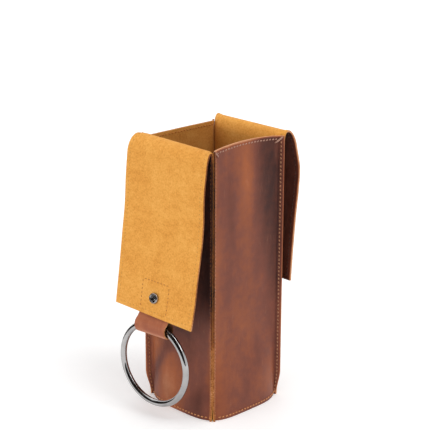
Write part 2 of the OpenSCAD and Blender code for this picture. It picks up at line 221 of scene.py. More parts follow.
def weighed(tree: bpy.types.NodeTree, *parts: tuple[object, float],
            start: float = 0.0) -> bpy.types.Node:
    """Add up sources, each times its weight.

    Args:
        tree: the node tree that uses the sum.
        parts: a node or socket with its weight, each.
        start: what the sum starts from.

    Returns:
        The node whose first output is the sum.
    """
    total = start
    for source, weight in parts:
        total = add_node(tree, "Math", {0: source, 1: weight, 2: total}, operation="MULTIPLY_ADD")
    return total


def cut_millimetres(tree: bpy.types.NodeTree) -> bpy.types.Node:
    """Place on the flat leather in millimetres, read from the piece's own cut map."""
    return add_node(tree, "Mapping", {"Vector": add_node(tree, "UVMap", uv_map=CUT_MAP),
                                      "Scale": (CUT_UNIT,) * 3})


def object_millimetres(tree: bpy.types.NodeTree) -> bpy.types.Node:
    """Place in the row frame in millimetres."""
    return add_node(tree, "Mapping", {"Vector": add_node(tree, "TexCoord").outputs["Object"],
                                      "Scale": (1 / MM,) * 3})


def background_ray(tree: bpy.types.NodeTree) -> bpy.types.Node:
    """1 where a surface is seen straight, in metal or through glass, and 0 for the light it gives.

    Args:
        tree: the node tree that uses it.

    Returns:
        The node whose first output is the share.
    """
    path = add_node(tree, "LightPath").outputs
    seen = add_node(tree, "Math", {0: path["Is Camera Ray"], 1: path["Is Glossy Ray"]},
                    operation="MAXIMUM")
    return add_node(tree, "Math", {0: seen, 1: path["Is Transmission Ray"]}, operation="MAXIMUM")


@dataclass(frozen=True)
class Pattern:
    """A cloudy pattern, by the size of its clouds in real millimetres."""

    mm: float
    detail: float = 2.0
    roughness: float = 0.5
    distortion: float = 0.0

    def inputs(self, place: bpy.types.Node) -> Inputs:
        """What a noise node needs to draw it at a place in millimetres."""
        return {"Vector": place, "Scale": 1 / self.mm, "Detail": self.detail,
                "Roughness": self.roughness, "Distortion": self.distortion}


@dataclass(frozen=True)
class Finish:
    """One finish, named for its material and how the surface was made."""

    name: str

    def material(self) -> bpy.types.Material:
        """The material, made when it is first asked for."""
        return bpy.data.materials.get(self.name) or self.build()

    def build(self) -> bpy.types.Material:
        """Make the material.

        Returns:
            The material.
        """
        material = bpy.data.materials.new(self.name)
        material.use_nodes = True
        tree = material.node_tree
        tree.nodes.clear()
        shader = add_node(tree, "BsdfPrincipled", self.inputs(tree))
        add_node(tree, "OutputMaterial", {"Surface": shader})
        return material

    def inputs(self, tree: bpy.types.NodeTree) -> Inputs:
        """What the surface shader is given. Each kind of finish has its own."""
        raise NotImplementedError


@dataclass(frozen=True)
class OiledGrain(Finish):
    """Oiled, waxed pull-up cowhide, grain side. The eye sees a reddish brown that clouds from dark
    to orange, lighter where its attributes give rubbed wear and painted highlight and darker where
    they give painted shade, a broad soft shine with a waxy haze, and fine pores."""

    dark: str = "3A1811"
    mid: str = "7C4434"
    light: str = "A65C36"
    worn: str = "CC8E68"
    cloud: Pattern = Pattern(46.0, 3.0, 0.55, 0.6)
    mottle: Pattern = Pattern(9.0, 6.0, 0.6)
    scuff: Pattern = Pattern(2.2, 4.0, 0.7)
    wrinkle: Pattern = Pattern(3.9, 4.0)
    pore_mm: float = 1.3
    base_tone: float = 0.135
    cloud_weight: float = 0.5
    mottle_weight: float = 0.23
    pull_weight: float = 0.36
    wrinkle_weight: float = 1.4
    scuff_most: float = 0.22
    roughness: float = 0.46
    dulling: float = 0.3

    def inputs(self, tree: bpy.types.NodeTree) -> Inputs:
        """Clouded colour with scuffs, painted highlight and painted shade, uneven polish, pores and
        wrinkles.

        Args:
            tree: the material's node tree.

        Returns:
            What the shader is given.
        """
        place = cut_millimetres(tree)
        long_way = add_node(tree, "Mapping", {"Vector": place, "Scale": (1.0, 0.35, 1.0)})
        scuff_way = add_node(tree, "Mapping", {
            "Vector": place, "Scale": (1.0, 0.12, 1.0), "Rotation": (0.0, 0.0, 0.12)})
        cloud = add_node(tree, "TexNoise", self.cloud.inputs(long_way))
        mottle = add_node(tree, "TexNoise", self.mottle.inputs(place))
        scuff = add_node(tree, "TexNoise", self.scuff.inputs(scuff_way))
        wrinkle = add_node(tree, "TexNoise", self.wrinkle.inputs(place))
        pores = add_node(tree, "TexVoronoi", {"Vector": place, "Scale": 1 / self.pore_mm},
                         feature="DISTANCE_TO_EDGE")
        stretch, depth = (add_node(tree, "Attribute", attribute_name=word).outputs["Fac"]
                          for word in ("stretch", "depth"))
        # The first attribute lightens the tone with rubbed wear and painted highlight and darkens
        # it with painted shade patches; depth darkens it with painted shade.
        tone_and_light = weighed(tree, (cloud, self.cloud_weight), (mottle, self.mottle_weight),
                         (stretch, self.pull_weight), (depth, -self.pull_weight),
                         start=self.base_tone)
        tone = set_ramp(add_node(tree, "ValToRGB", {"Fac": tone_and_light}), [
            (0.16, self.dark), (0.46, self.mid), (0.66, self.light), (0.92, self.worn)])
        scuffed = add_node(tree, "MapRange", {
            "Value": scuff, "From Min": 0.60, "From Max": 0.80, "To Max": self.scuff_most})
        colour = add_node(tree, "Mix", {"Factor": scuffed, "A": tone, "B": linear(self.worn)},
                          data_type="RGBA")
        polish = add_node(tree, "MapRange", {
            "Value": mottle, "From Min": 0.3, "From Max": 0.7, "To Min": self.roughness - 0.07,
            "To Max": self.roughness + 0.09})
        pore_depth = add_node(tree, "MapRange", {"Value": pores, "From Max": 0.18})
        relief = weighed(tree, (pore_depth, 1.0), (wrinkle, self.wrinkle_weight))
        bump = add_node(tree, "Bump", {"Height": relief, "Strength": 0.22, "Distance": 0.3 * MM})
        return {"Base Color": colour.outputs[2], "Specular IOR Level": 0.28,
                "Roughness": weighed(tree, (polish, 1.0), (depth, self.dulling)),
                "Specular Tint": linear("FBE0DA"), "Coat Weight": 0.05, "Coat Roughness": 0.3,
                "Normal": bump}


@dataclass(frozen=True)
class NappedFlesh(Finish):
    """Flesh side of the same hide, split and sanded to a suede nap. The eye sees a dry, matt
    mustard with soft darker clouds where the nap lies the other way, and short fibres. Real fibres
    of 0.3 mm are drawn about five times as coarse, to show."""

    dark: str = "CF8531"
    mid: str = "E8A249"
    light: str = "F6B860"
    soiled: str = "4E2C14"
    cloud: Pattern = Pattern(26.0, 3.0, 0.5, 0.4)
    brush: Pattern = Pattern(5.5, 5.0, 0.65)
    fibre: Pattern = Pattern(1.7, 3.0, 0.6)
    weights: tuple[float, float, float] = (0.24, 0.30, 0.46)
    brush_relief: float = 1.5

    def inputs(self, tree: bpy.types.NodeTree) -> Inputs:
        """Brushed colour, mixed towards a dark brown as painted shade inside the pocket and the
        tab's loop, with the nap's sheen and relief.

        Args:
            tree: the material's node tree.

        Returns:
            What the shader is given.
        """
        place = cut_millimetres(tree)
        cloud, brush, fibre = laid = [add_node(tree, "TexNoise", pattern.inputs(place))
                                      for pattern in (self.cloud, self.brush, self.fibre)]
        lit = weighed(tree, *zip(laid, self.weights))
        tone = set_ramp(add_node(tree, "ValToRGB", {"Fac": lit}), [
            (0.34, self.dark), (0.50, self.mid), (0.66, self.light)])
        # Painted shade: the attribute mixes the flesh side towards dark brown inside the pocket and
        # the tab's loop.
        soil = add_node(tree, "Attribute", attribute_name="soil").outputs["Fac"]
        colour = add_node(tree, "Mix", {"Factor": soil, "A": tone, "B": linear(self.soiled)},
                          data_type="RGBA")
        nap = weighed(tree, (fibre, 1.0), (brush, self.brush_relief))
        bump = add_node(tree, "Bump", {"Height": nap, "Strength": 0.35, "Distance": 0.35 * MM})
        return {"Base Color": colour.outputs[2], "Roughness": 0.92, "Specular IOR Level": 0.18,
                "Sheen Weight": 0.18, "Sheen Roughness": 0.55, "Sheen Tint": linear("FFE0B0"),
                "Normal": bump}


@dataclass(frozen=True)
class CutEdge(Finish):
    """Raw cut edge of vegetable-dyed hide. The eye sees packed fibres in orange tan, with short
    dark nicks across the thickness."""

    shade: str = "2A140C"
    dark: str = "7C421E"
    light: str = "B87440"
    rubbed: str = "DEA276"
    nick: Pattern = Pattern(1.4, 4.0, 0.7)
    cloud: Pattern = Pattern(19.6)
    cloud_weight: float = 0.6

    def inputs(self, tree: bpy.types.NodeTree) -> Inputs:
        """Fibre colour, lighter or darker as the edge attribute says; its negative values are
        painted shade.

        Args:
            tree: the material's node tree.

        Returns:
            What the shader is given.
        """
        place = object_millimetres(tree)
        nick = add_node(tree, "TexNoise", self.nick.inputs(place))
        cloud = add_node(tree, "TexNoise", self.cloud.inputs(place))
        edge = add_node(tree, "Attribute", attribute_name="edge").outputs["Fac"]
        lit = weighed(tree, (nick, 1.0), (cloud, self.cloud_weight), (edge, 1.0))
        tone = set_ramp(add_node(tree, "ValToRGB", {"Fac": lit}), [
            (0.2, self.shade), (0.6, self.dark), (0.85, self.light), (1.0, self.rubbed)])
        bump = add_node(tree, "Bump", {"Height": nick, "Strength": 0.5, "Distance": 0.3 * MM})
        return {"Base Color": tone, "Roughness": 0.82, "Specular IOR Level": 0.25, "Normal": bump}


@dataclass(frozen=True)
class WaxedThread(Finish):
    """Twisted polyester thread, waxed. The eye sees plump beads with a slanting twist."""

    dark: str
    light: str
    twists_per_mm: float = 0.2886
    slant: tuple[float, float, float] = (0.7, 0.5, 0.6)

    def inputs(self, tree: bpy.types.NodeTree) -> Inputs:
        """Colour that changes across the strands.

        Args:
            tree: the material's node tree.

        Returns:
            What the shader is given.
        """
        way = add_node(tree, "Mapping", {"Vector": object_millimetres(tree),
                                         "Rotation": self.slant})
        twist = add_node(tree, "TexWave", {"Vector": way, "Scale": self.twists_per_mm,
                                           "Distortion": 0.6, "Detail": 1.0}).outputs["Fac"]
        tone = set_ramp(add_node(tree, "ValToRGB", {"Fac": twist}), [
            (0.1, self.dark), (0.8, self.light)])
        return {"Base Color": tone, "Roughness": 0.6, "Specular IOR Level": 0.35}


@dataclass(frozen=True)
class NickelPlate(Finish):
    """Steel plated with dark nickel and polished. The eye sees a cool grey mirror that darkens in
    small clouds, with fine rub marks."""

    dark: str
    light: str
    roughness: float
    cloud: Pattern = Pattern(14.0, 3.0)
    rub: Pattern = Pattern(1 / 2.4, 3.0)

    def inputs(self, tree: bpy.types.NodeTree) -> Inputs:
        """Clouded plate with uneven polish.

        Args:
            tree: the material's node tree.

        Returns:
            What the shader is given.
        """
        cloud, rub = (add_node(tree, "TexNoise", pattern.inputs(object_millimetres(tree)))
                      for pattern in (self.cloud, self.rub))
        tone = set_ramp(add_node(tree, "ValToRGB", {"Fac": cloud}), [
            (0.3, self.dark), (0.7, self.light)])
        rough = add_node(tree, "MapRange", {
            "Value": rub, "To Min": self.roughness * 0.6, "To Max": self.roughness * 1.5})
        return {"Base Color": tone, "Metallic": 1.0, "Roughness": rough}


@dataclass(frozen=True)
class StudioFelt(Finish):
    """Matt paper or felt of the studio. The eye sees one even tone with faint grit."""

    dark: str
    light: str
    grits_per_m: float
    glow: float = 0.0

    def inputs(self, tree: bpy.types.NodeTree) -> Inputs:
        """Gritty tone, and a glow that only the eye, metal and glass see.

        Args:
            tree: the material's node tree.

        Returns:
            What the shader is given.
        """
        place = add_node(tree, "TexCoord").outputs["Object"]
        grit = add_node(tree, "TexNoise", {"Vector": place, "Scale": self.grits_per_m})
        tone = set_ramp(add_node(tree, "ValToRGB", {"Fac": grit}), [
            (0.3, self.dark), (0.7, self.light)])
        given = {"Base Color": tone, "Roughness": 1.0, "Specular IOR Level": 0.0}
        if self.glow:
            given["Emission Color"] = linear("FFFFFF")
            given["Emission Strength"] = weighed(tree, (background_ray(tree), self.glow))
        return given


GRAIN = OiledGrain("oiled_pull_up_cowhide")
FLESH = NappedFlesh("sanded_suede_flesh_side")
EDGE = CutEdge("raw_cut_hide_edge")
TAB_GRAIN = OiledGrain("oiled_cowhide_tab", dark="6E3A2A", mid="9A553C", light="B56E4C",
                       worn="CF9070", cloud=Pattern(18.0, 3.0, 0.55, 0.6))
SEAM_THREAD = WaxedThread("waxed_peach_thread", "8C5838", "C8906C")
RIM_THREAD = WaxedThread("waxed_rose_thread", "946452", "CCA28E")
# Seam thread darkened as painted shade, for the two seams at the left wall.
DIM_THREAD = WaxedThread("waxed_rust_brown_thread", "7C482A", "B8784C")
# Thread darkened as painted shade, for the flap rows on the grain side, which faces the wall.
SHADE_THREAD = WaxedThread("waxed_brown_thread", "3A2018", "5C3B2C")
FOOT_THREAD = WaxedThread("waxed_tan_thread", "AE683C", "E2A06A")
SUEDE_THREAD = WaxedThread("waxed_ochre_thread", "C4842F", "E6A850")
BOX_THREAD = WaxedThread("waxed_rust_thread", "A8642A", "CC8436")
RING_PLATE = NickelPlate("polished_black_nickel_plate", "9C9A9A", "B4B3B3", 0.07)
SNAP_PLATE = NickelPlate("dark_nickel_plate", "8E8A88", "B8B4B2", 0.12)
SPRING_WIRE = NickelPlate("bare_spring_wire", "A8A9AB", "C4C5C7", 0.2)
FLOOR_PAPER = StudioFelt("matt_white_floor", "FAFAFA", "FFFFFF", 9.0, glow=0.17)
BLACK_FELT = StudioFelt("black_felt", "262322", "36322F", 40.0)


@dataclass(frozen=True)
class FlapCut:
    """Measured sizes of a flap and its fold.

    Slant is how far the corner near the front wall hangs below the middle of the flap's end, and
    bend the length over which the leather bends. Near and far are the distances out from the body,
    in body widths, at equal steps down the edge near the front wall and down the other.
    """

    drop: float
    slant: float
    bend: float
    fold_reach: tuple[float, float]
    near: tuple[float, ...]
    far: tuple[float, ...]


FLAP_CUTS = {
    Side.LEFT: FlapCut(144.2, 2.2, 8.4, (12.5, 17.0),
                       (0.143, 0.179, 0.187, 0.215, 0.265, 0.307, 0.364),
                       (0.241, 0.269, 0.287, 0.324, 0.36, 0.398, 0.437)),
    Side.RIGHT: FlapCut(131.0, 0.0, 7.4, (18.0, 19.5),
                        (0.211, 0.267, 0.253, 0.222, 0.197, 0.176, 0.158),
                        (0.211, 0.262, 0.25, 0.226, 0.201, 0.183, 0.169))}


def curve(values: Sequence[float], t: float) -> float:
    """Smooth curve through equally spaced values, straight on past the last one.

    Args:
        values: what it passes through.
        t: share of the way from the first value to the last.

    Returns:
        The value there.
    """
    n = len(values) - 1
    x = min(max(t, 0.0), 1.0) * n
    i = min(int(x), n - 1)
    f = x - i
    b, c = values[i], values[i + 1]
    a = values[i - 1] if i > 0 else 2 * b - c
    d = values[i + 2] if i < n - 1 else 2 * c - b
    beyond = max(t - 1, 0) * n * (values[n] - values[n - 1])
    return beyond + 0.5 * (2 * b + (c - a) * f + (2 * a - 5 * b + 4 * c - d) * f * f
                           + (3 * b - a - 3 * c + d) * f ** 3)


@dataclass(frozen=True)
class Hide:
    """Sizes of the cut leather, and the surfaces that its middle layer follows."""

    leather_t: float = 2.0
    seam_gap: float = 0.1
    corner_gap: float = -0.02
    body_w: float = 86.0
    body_h: float = 258.0
    seam_w: float = 6.7
    front_rim_crown: float = 2.4
    back_rim_crown: float = 0.8
    rim_lean: float = 2.0
    rim_lean_h: float = 40.0
    foot_w: float = 103.4
    foot_h: float = 78.0
    foot_seam_w: float = 3.5
    pull_h: float = 25.0
    base_rim_h: float = 8.0
    base_gap: float = 0.4
    fold_drop: float = 8.0
    flap_start_drop: float = 13.0
    bend_round: float = 2.4
    splay: float = 0.8
    splay_h: float = 16.0
    foot_corner_shares: tuple[float, ...] = (0.809, 0.809, 0.787, 0.858)
    swell_most: float = 0.9
    swell_across: float = 1.3
    swell_h: float = 60.0
    swell_apart: float = 37.0
    swell_fade_h: float = 30.0
    flap_step: float = 0.02

    @property
    def seam_off(self) -> float:
        """Distance of a seam layer's middle from the diagonal, along each axis."""
        return (self.leather_t + self.corner_gap) / 2 / math.sqrt(2)

    @property
    def bend_top(self) -> float:
        """Diagonal place where a flat wall turns into its seam edge."""
        return self.body_w / 2 - self.leather_t / 2 - self.seam_off

    @property
    def wall_half(self) -> float:
        """Half the flat wall."""
        return self.bend_top - self.seam_off

    @property
    def flat_half(self) -> float:
        """Half the wall with its seam edge laid flat."""
        return self.wall_half + self.seam_w

    @property
    def wall_share(self) -> float:
        """Where v passes from the wall to its seam edge."""
        return self.wall_half / self.flat_half

    @property
    def foot_mid(self) -> float:
        """Middle layer of a wall at the floor, at mid width."""
        return self.foot_w / 2 - self.leather_t / 2

    @property
    def fold_z(self) -> float:
        """Height at which a side wall starts to fold."""
        return self.body_h - self.fold_drop

    @property
    def flap_z(self) -> float:
        """Height at which a flap starts."""
        return self.body_h - self.flap_start_drop

    def wall_h(self, side: Side) -> float:
        """Height of a wall up to its rim's corners or its fold."""
        return self.body_h if side.plain else self.fold_z

    def foot_corner(self, corner: Side) -> float:
        """Share of the foot's half width at which the corner after that side bends."""
        return self.foot_corner_shares[corner.value // 90]

    def foot_power(self, corner: Side) -> float:
        """Exponent of the rounded square on the floor."""
        return -math.log(2) / math.log(self.foot_corner(corner))

    def section(self, corner: Side, v: float, z: float) -> tuple[float, float]:
        """Half a wall's section at one height, with the sharp bend at its seam edge.

        Args:
            corner: the side before the corner.
            v: 0 at mid width to 1 at the raw edge.
            z: height.

        Returns:
            Distance along the wall and out of it.
        """
        share = 1 - rise(z, self.base_rim_h, self.foot_h - self.base_rim_h)
        foot_bend = self.foot_mid * self.foot_corner(corner)
        if v > self.wall_share:
            wing = (v - self.wall_share) / (1 - self.wall_share)
            tip = mix(foot_bend + self.foot_seam_w / math.sqrt(2),
                      self.bend_top + self.seam_w / math.sqrt(2), rise(z, 0, self.pull_h))
            s = mix(mix(self.bend_top, foot_bend, share), tip, wing)
            off = self.seam_off + self.splay * wing * wing * (1 - rise(z, 0, self.splay_h))
            return s - off, s + off
        w = v / self.wall_share
        power = self.foot_power(corner)
        foot_u = w * (foot_bend - self.seam_off)
        foot_n = (self.foot_mid ** power - foot_u ** power) ** (1 / power)
        return (mix(w * self.wall_half, foot_u, share),
                mix(self.bend_top + self.seam_off, foot_n, share))

    def wall(self, side: Side, v: float, share: float) -> Vector:
        """Point of a wall.

        Args:
            side: which wall.
            v: place across.
            share: 0 at the floor to 1 at the rim or fold.

        Returns:
            The point in millimetres.
        """
        arch = 1 - min(abs(v) / self.wall_share, 1) ** 2
        crown = self.front_rim_crown if side is Side.FRONT else self.back_rim_crown
        z = share * (self.wall_h(side) + (crown * arch if side.plain else 0.0))
        corner = side if v >= 0 else side.beside(-1)
        round_v = self.bend_round / self.flat_half
        low, high = self.wall_share - round_v, self.wall_share + round_v
        if low < abs(v) < high:
            ends = [self.section(corner, x, z) for x in (low, self.wall_share, high)]
            u, n = (bow(*three, (abs(v) - low) / (high - low)) for three in zip(*ends))
        else:
            u, n = self.section(corner, abs(v), z)
        lean = self.rim_lean * rise(z, self.body_h - self.rim_lean_h, self.rim_lean_h)
        inwards = (lean if side.plain else 0.0) - self.swell(side, v, z)
        return Vector((math.copysign(u, v), inwards * arch - n, z))

    def swell(self, side: Side, v: float, z: float) -> float:
        """Slow hollows and swellings that handling leaves in a wall.

        Args:
            side: which wall.
            v: place across.
            z: height.

        Returns:
            How far the wall stands out, in millimetres.
        """
        place = Vector((v * self.swell_across + side.value, z / self.swell_h,
                        side.value / self.swell_apart))
        fade = (rise(z, 0, self.swell_fade_h)
                * (1 - rise(z, self.fold_z - self.swell_fade_h, self.swell_fade_h)))
        return self.swell_most * noise.noise(place) * fade

    def near(self, side: Side, v: float) -> float:
        """Share of the way from a flap's back edge to its front edge."""
        return (1 + (v if side is Side.LEFT else -v)) / 2

    def flap(self, side: Side, v: float, t: float) -> Vector:
        """Point of a flap.

        Args:
            side: left or right.
            v: place across.
            t: 0 at its start to 1 at its end.

        Returns:
            The point in millimetres.
        """
        cut, near = FLAP_CUTS[side], self.near(side, v)
        out = mix(curve(cut.far, t), curve(cut.near, t), near)
        drop = cut.drop + cut.slant * (2 * near - 1)
        return Vector((v * self.flat_half, -self.body_w * (0.5 + out), self.flap_z - t * drop))

    def fold(self, side: Side, v: float, t: float) -> Vector:
        """Point of a fold.

        Args:
            side: left or right.
            v: place across.
            t: 0 at the wall to 1 at the flap.

        Returns:
            The point in millimetres.
        """
        near_reach, far_reach = FLAP_CUTS[side].fold_reach
        reach = mix(far_reach, near_reach, self.near(side, v))
        a, b = self.wall(side, v, 1.0), self.flap(side, v, 0.0)
        back = (b - self.flap(side, v, self.flap_step)).normalized()
        s = 1 - t
        return (s ** 3 * a + 3 * s * s * t * (a + Vector((0, 0, reach)))
                + 3 * s * t * t * (b + back * reach) + t ** 3 * b)

    def strip(self, side: Side, v: float, run: float) -> Vector:
        """Point of a side piece.

        Args:
            side: left or right.
            v: place across.
            run: place along: wall, fold and flap.

        Returns:
            The point in millimetres.
        """
        if run <= 1:
            return self.wall(side, v, run)
        return self.fold(side, v, run - 1) if run <= 2 else self.flap(side, v, run - 2)

    def surface(self, side: Side) -> Surface:
        """The whole surface of one side's piece."""
        return partial(self.wall if side.plain else self.strip, side)


HIDE = Hide()


def linked(name: str, data: bpy.types.ID) -> bpy.types.Object:
    """Put an object that shows some data into the scene.

    Args:
        name: the object's name.
        data: its mesh, lamp or camera.

    Returns:
        The object, at the origin.
    """
    made = bpy.data.objects.new(name, data)
    bpy.context.scene.collection.objects.link(made)
    return made


def finished(name: str, bm: bmesh.types.BMesh, *finishes: Finish) -> bpy.types.Object:
    """Turn a bmesh into a smooth, linked object at the origin.

    Args:
        name: the piece's name.
        bm: its shape in metres, which is freed.
        finishes: what its material slots hold, in order.

    Returns:
        The piece.
    """
    mesh = bpy.data.meshes.new(name)
    bm.to_mesh(mesh)
    bm.free()
    mesh.shade_smooth()
    for finish in finishes:
        mesh.materials.append(finish.material())
    return linked(name, mesh)


def thicken(piece: bpy.types.Object, thickness: float,
            offset: float = 0.0) -> bpy.types.SolidifyModifier:
    """Give a leather piece its thickness. Its slots hold grain side, flesh side and cut edge.

    Args:
        piece: the piece.
        thickness: in millimetres.
        offset: -1 to grow inwards only, 0 to grow both ways.

    Returns:
        The modifier.
    """
    shell = piece.modifiers.new("thickness", "SOLIDIFY")
    shell.thickness = thickness * MM
    shell.offset = offset
    shell.material_offset, shell.material_offset_rim = 1, 2
    return shell


@dataclass(frozen=True)
class Bend:
    """A piece that crosses the fold between the carrier and its flap.

    The piece is made where it lies and does not follow the flap.
    """

    side: Side
    lift: float = 0.0
    start: float = 46.8
    climb: float = 0.016

    def __str__(self) -> str:
        """The two bodies."""
        return f"carrier and {self.side.word}_flap"

    def join(self, piece: bpy.types.Object) -> None:
        """Bake a piece's place into its mesh.

        Args:
            piece: a piece that crosses the fold.
        """
        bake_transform(piece)


def settle(piece: bpy.types.Object, body: str | Bend, slot: str, *nodes: str) -> None:
    """Let a piece move with its body, or only bake its place if it crosses a fold, and stand for
    its nodes.

    Args:
        piece: the piece.
        body: the body that it rides on, or the bend of the fold that it crosses.
        slot: not used.
        nodes: the nodes that it replaces.
    """
    if isinstance(body, Bend):
        body.join(piece)
    else:
        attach(piece, body)
    if nodes:
        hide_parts(*nodes)
    LOG.info("%s moves with %s, %d faces", piece.name, body, len(piece.data.polygons))


def spun(profile: Sequence[tuple[float, float]], steps: int, place: Matrix) -> bmesh.types.BMesh:
    """Turn a closed profile about its axis.

    Args:
        profile: radius and height of each corner in millimetres, in order round the section.
        steps: facets round the axis.
        place: puts the shape, made along +Z at the origin, into the row frame in millimetres.

    Returns:
        The shape in metres.
    """
    bm = bmesh.new()
    verts = [bm.verts.new((r, 0, z)) for r, z in profile]
    edges = [bm.edges.new(pair) for pair in zip(verts, verts[1:] + verts[:1])
             if max(pair[0].co.x, pair[1].co.x) > MERGE]
    bmesh.ops.spin(bm, geom=verts + edges, cent=(0, 0, 0), axis=(0, 0, 1), angle=2 * math.pi,
                   steps=steps, use_merge=True, use_duplicate=False)
    bmesh.ops.remove_doubles(bm, verts=bm.verts[:], dist=MERGE)
    bmesh.ops.recalc_face_normals(bm, faces=bm.faces[:])
    bmesh.ops.transform(bm, matrix=Matrix.Scale(MM, 4) @ place, verts=bm.verts[:])
    return bm


@dataclass
class LeatherSheet:
    """A sheet of leather round a middle layer, with its grain side, flesh side and cut edge.

    Its columns and rows are places across and along it. Tones are attributes for the finishes. The
    cut edge keeps only the lip's share of the thickness, so that it looks rounded. Sheets lie apart
    on the flat leather by so much for each degree of their side's turn: no two look alike.
    """

    name: str
    side: Side
    columns: Sequence[float]
    rows: Sequence[float]
    surface: Surface
    tones: dict[str, Tone]
    thickness: float = HIDE.leather_t
    lip: float = 0.84
    apart: float = 1.7

    def build(self, *finishes: Finish) -> bpy.types.Object:
        """Make the sheet.

        Args:
            finishes: those of the grain side, the flesh side and the cut edge.

        Returns:
            The piece.
        """
        bm = bmesh.new()
        across, along = len(self.columns) - 1, len(self.rows) - 1
        bmesh.ops.create_grid(bm, x_segments=across, y_segments=along, size=1.0)
        weight = bm.verts.layers.deform.verify()
        layers = [(bm.verts.layers.float.new(word), tone) for word, tone in self.tones.items()]
        uv = bm.loops.layers.uv.new(CUT_MAP)
        places = {vert: (round((vert.co.x + 1) / 2 * across), round((vert.co.y + 1) / 2 * along))
                  for vert in bm.verts}
        points = {(i, j): self.surface(self.columns[i], self.rows[j]) for i, j in places.values()}
        flat = self.flat_places(points)
        turn = self.side.turn()
        for vert, (i, j) in places.items():
            vert.co = turn @ (points[i, j] * MM)
            vert[weight][0] = 0.0 if i in (0, across) or j in (0, along) else 1.0
            for layer, tone in layers:
                vert[layer] = tone(self.columns[i], self.rows[j])
        for vert, place in places.items():
            for loop in vert.link_loops:
                loop[uv].uv = flat[place]
        piece = finished(self.name, bm, *finishes)
        shell = thicken(piece, self.thickness)
        shell.vertex_group = piece.vertex_groups.new(name="full").name
        shell.thickness_vertex_group = self.lip
        return piece

    def flat_places(self, points: dict[tuple[int, int], Vector]
                    ) -> dict[tuple[int, int], tuple[float, float]]:
        """Lay the sheet flat, measured along its middle column.

        Args:
            points: its points by column and row.

        Returns:
            The place of each point on the flat cut piece.
        """
        middle = len(self.columns) // 2
        heights = [0.0]
        for j in range(1, len(self.rows)):
            heights.append(heights[-1] + (points[middle, j] - points[middle, j - 1]).length)
        shift = self.side.value * self.apart
        return {(i, j): ((self.columns[i] * HIDE.flat_half + shift) / CUT_UNIT,
                         heights[j] / CUT_UNIT) for i, j in points}


@dataclass(frozen=True)
class Spot:
    """A soft patch of lighter grain, or darker if its amount is negative. The patches stand for
    painted highlight and painted shade, mixed with the leather's own uneven tone.

    Its middle is at v and run, and moves across by its lean for each unit along.
    """

    v: float
    run: float
    wide: float
    high: float
    amount: float
    lean: float = 0.0

    def at(self, v: float, run: float) -> float:
        """Its share at a place."""
        middle = self.v + self.lean * (run - self.run)
        return self.amount * hump(v, middle, self.wide) * hump(run, self.run, self.high)


# Patches of painted highlight and painted shade on each wall, mixed with the leather's own uneven
# tone.
LIGHT_AND_TONE_SPOTS = {
    Side.FRONT: (
        Spot(0.03, 0.89, 0.2, 0.14, 0.5), Spot(-0.4, 0.77, 0.13, 0.2, -0.3),
        Spot(-0.82, 0.62, 0.11, 0.36, 0.24), Spot(-0.62, 0.3, 0.08, 0.1, 0.12, 1.2),
        Spot(0.61, 0.86, 0.36, 0.3, -0.8), Spot(0.8, 0.55, 0.2, 0.22, -0.38),
        Spot(-0.35, 0.33, 0.5, 0.13, 0.14), Spot(0.5, 0.09, 0.3, 0.07, 0.38),
        Spot(-0.5, 0.08, 0.24, 0.06, -0.18)),
    Side.LEFT: (
        Spot(-0.72, 0.24, 0.16, 0.12, 0.72), Spot(-0.12, 0.09, 0.36, 0.15, 0.74),
        Spot(0.86, 0.26, 0.1, 0.16, 0.3), Spot(-0.58, 0.14, 0.13, 0.12, -0.5, 2.7),
        Spot(0.6, 0.05, 0.18, 0.05, -0.3), Spot(0.1, 0.3, 0.5, 0.1, -0.4)),
    Side.RIGHT: (
        Spot(0.2, 0.16, 0.4, 0.1, 0.3), Spot(-0.5, 0.3, 0.16, 0.12, 0.25),
        Spot(0.55, 0.22, 0.14, 0.16, -0.3, -1.5)),
    Side.BACK: (
        Spot(0.1, 0.8, 0.16, 0.22, 0.45), Spot(-0.55, 0.75, 0.25, 0.25, -0.4),
        Spot(0.5, 0.3, 0.2, 0.16, 0.25), Spot(-0.3, 0.25, 0.3, 0.12, 0.15, 1.5))}


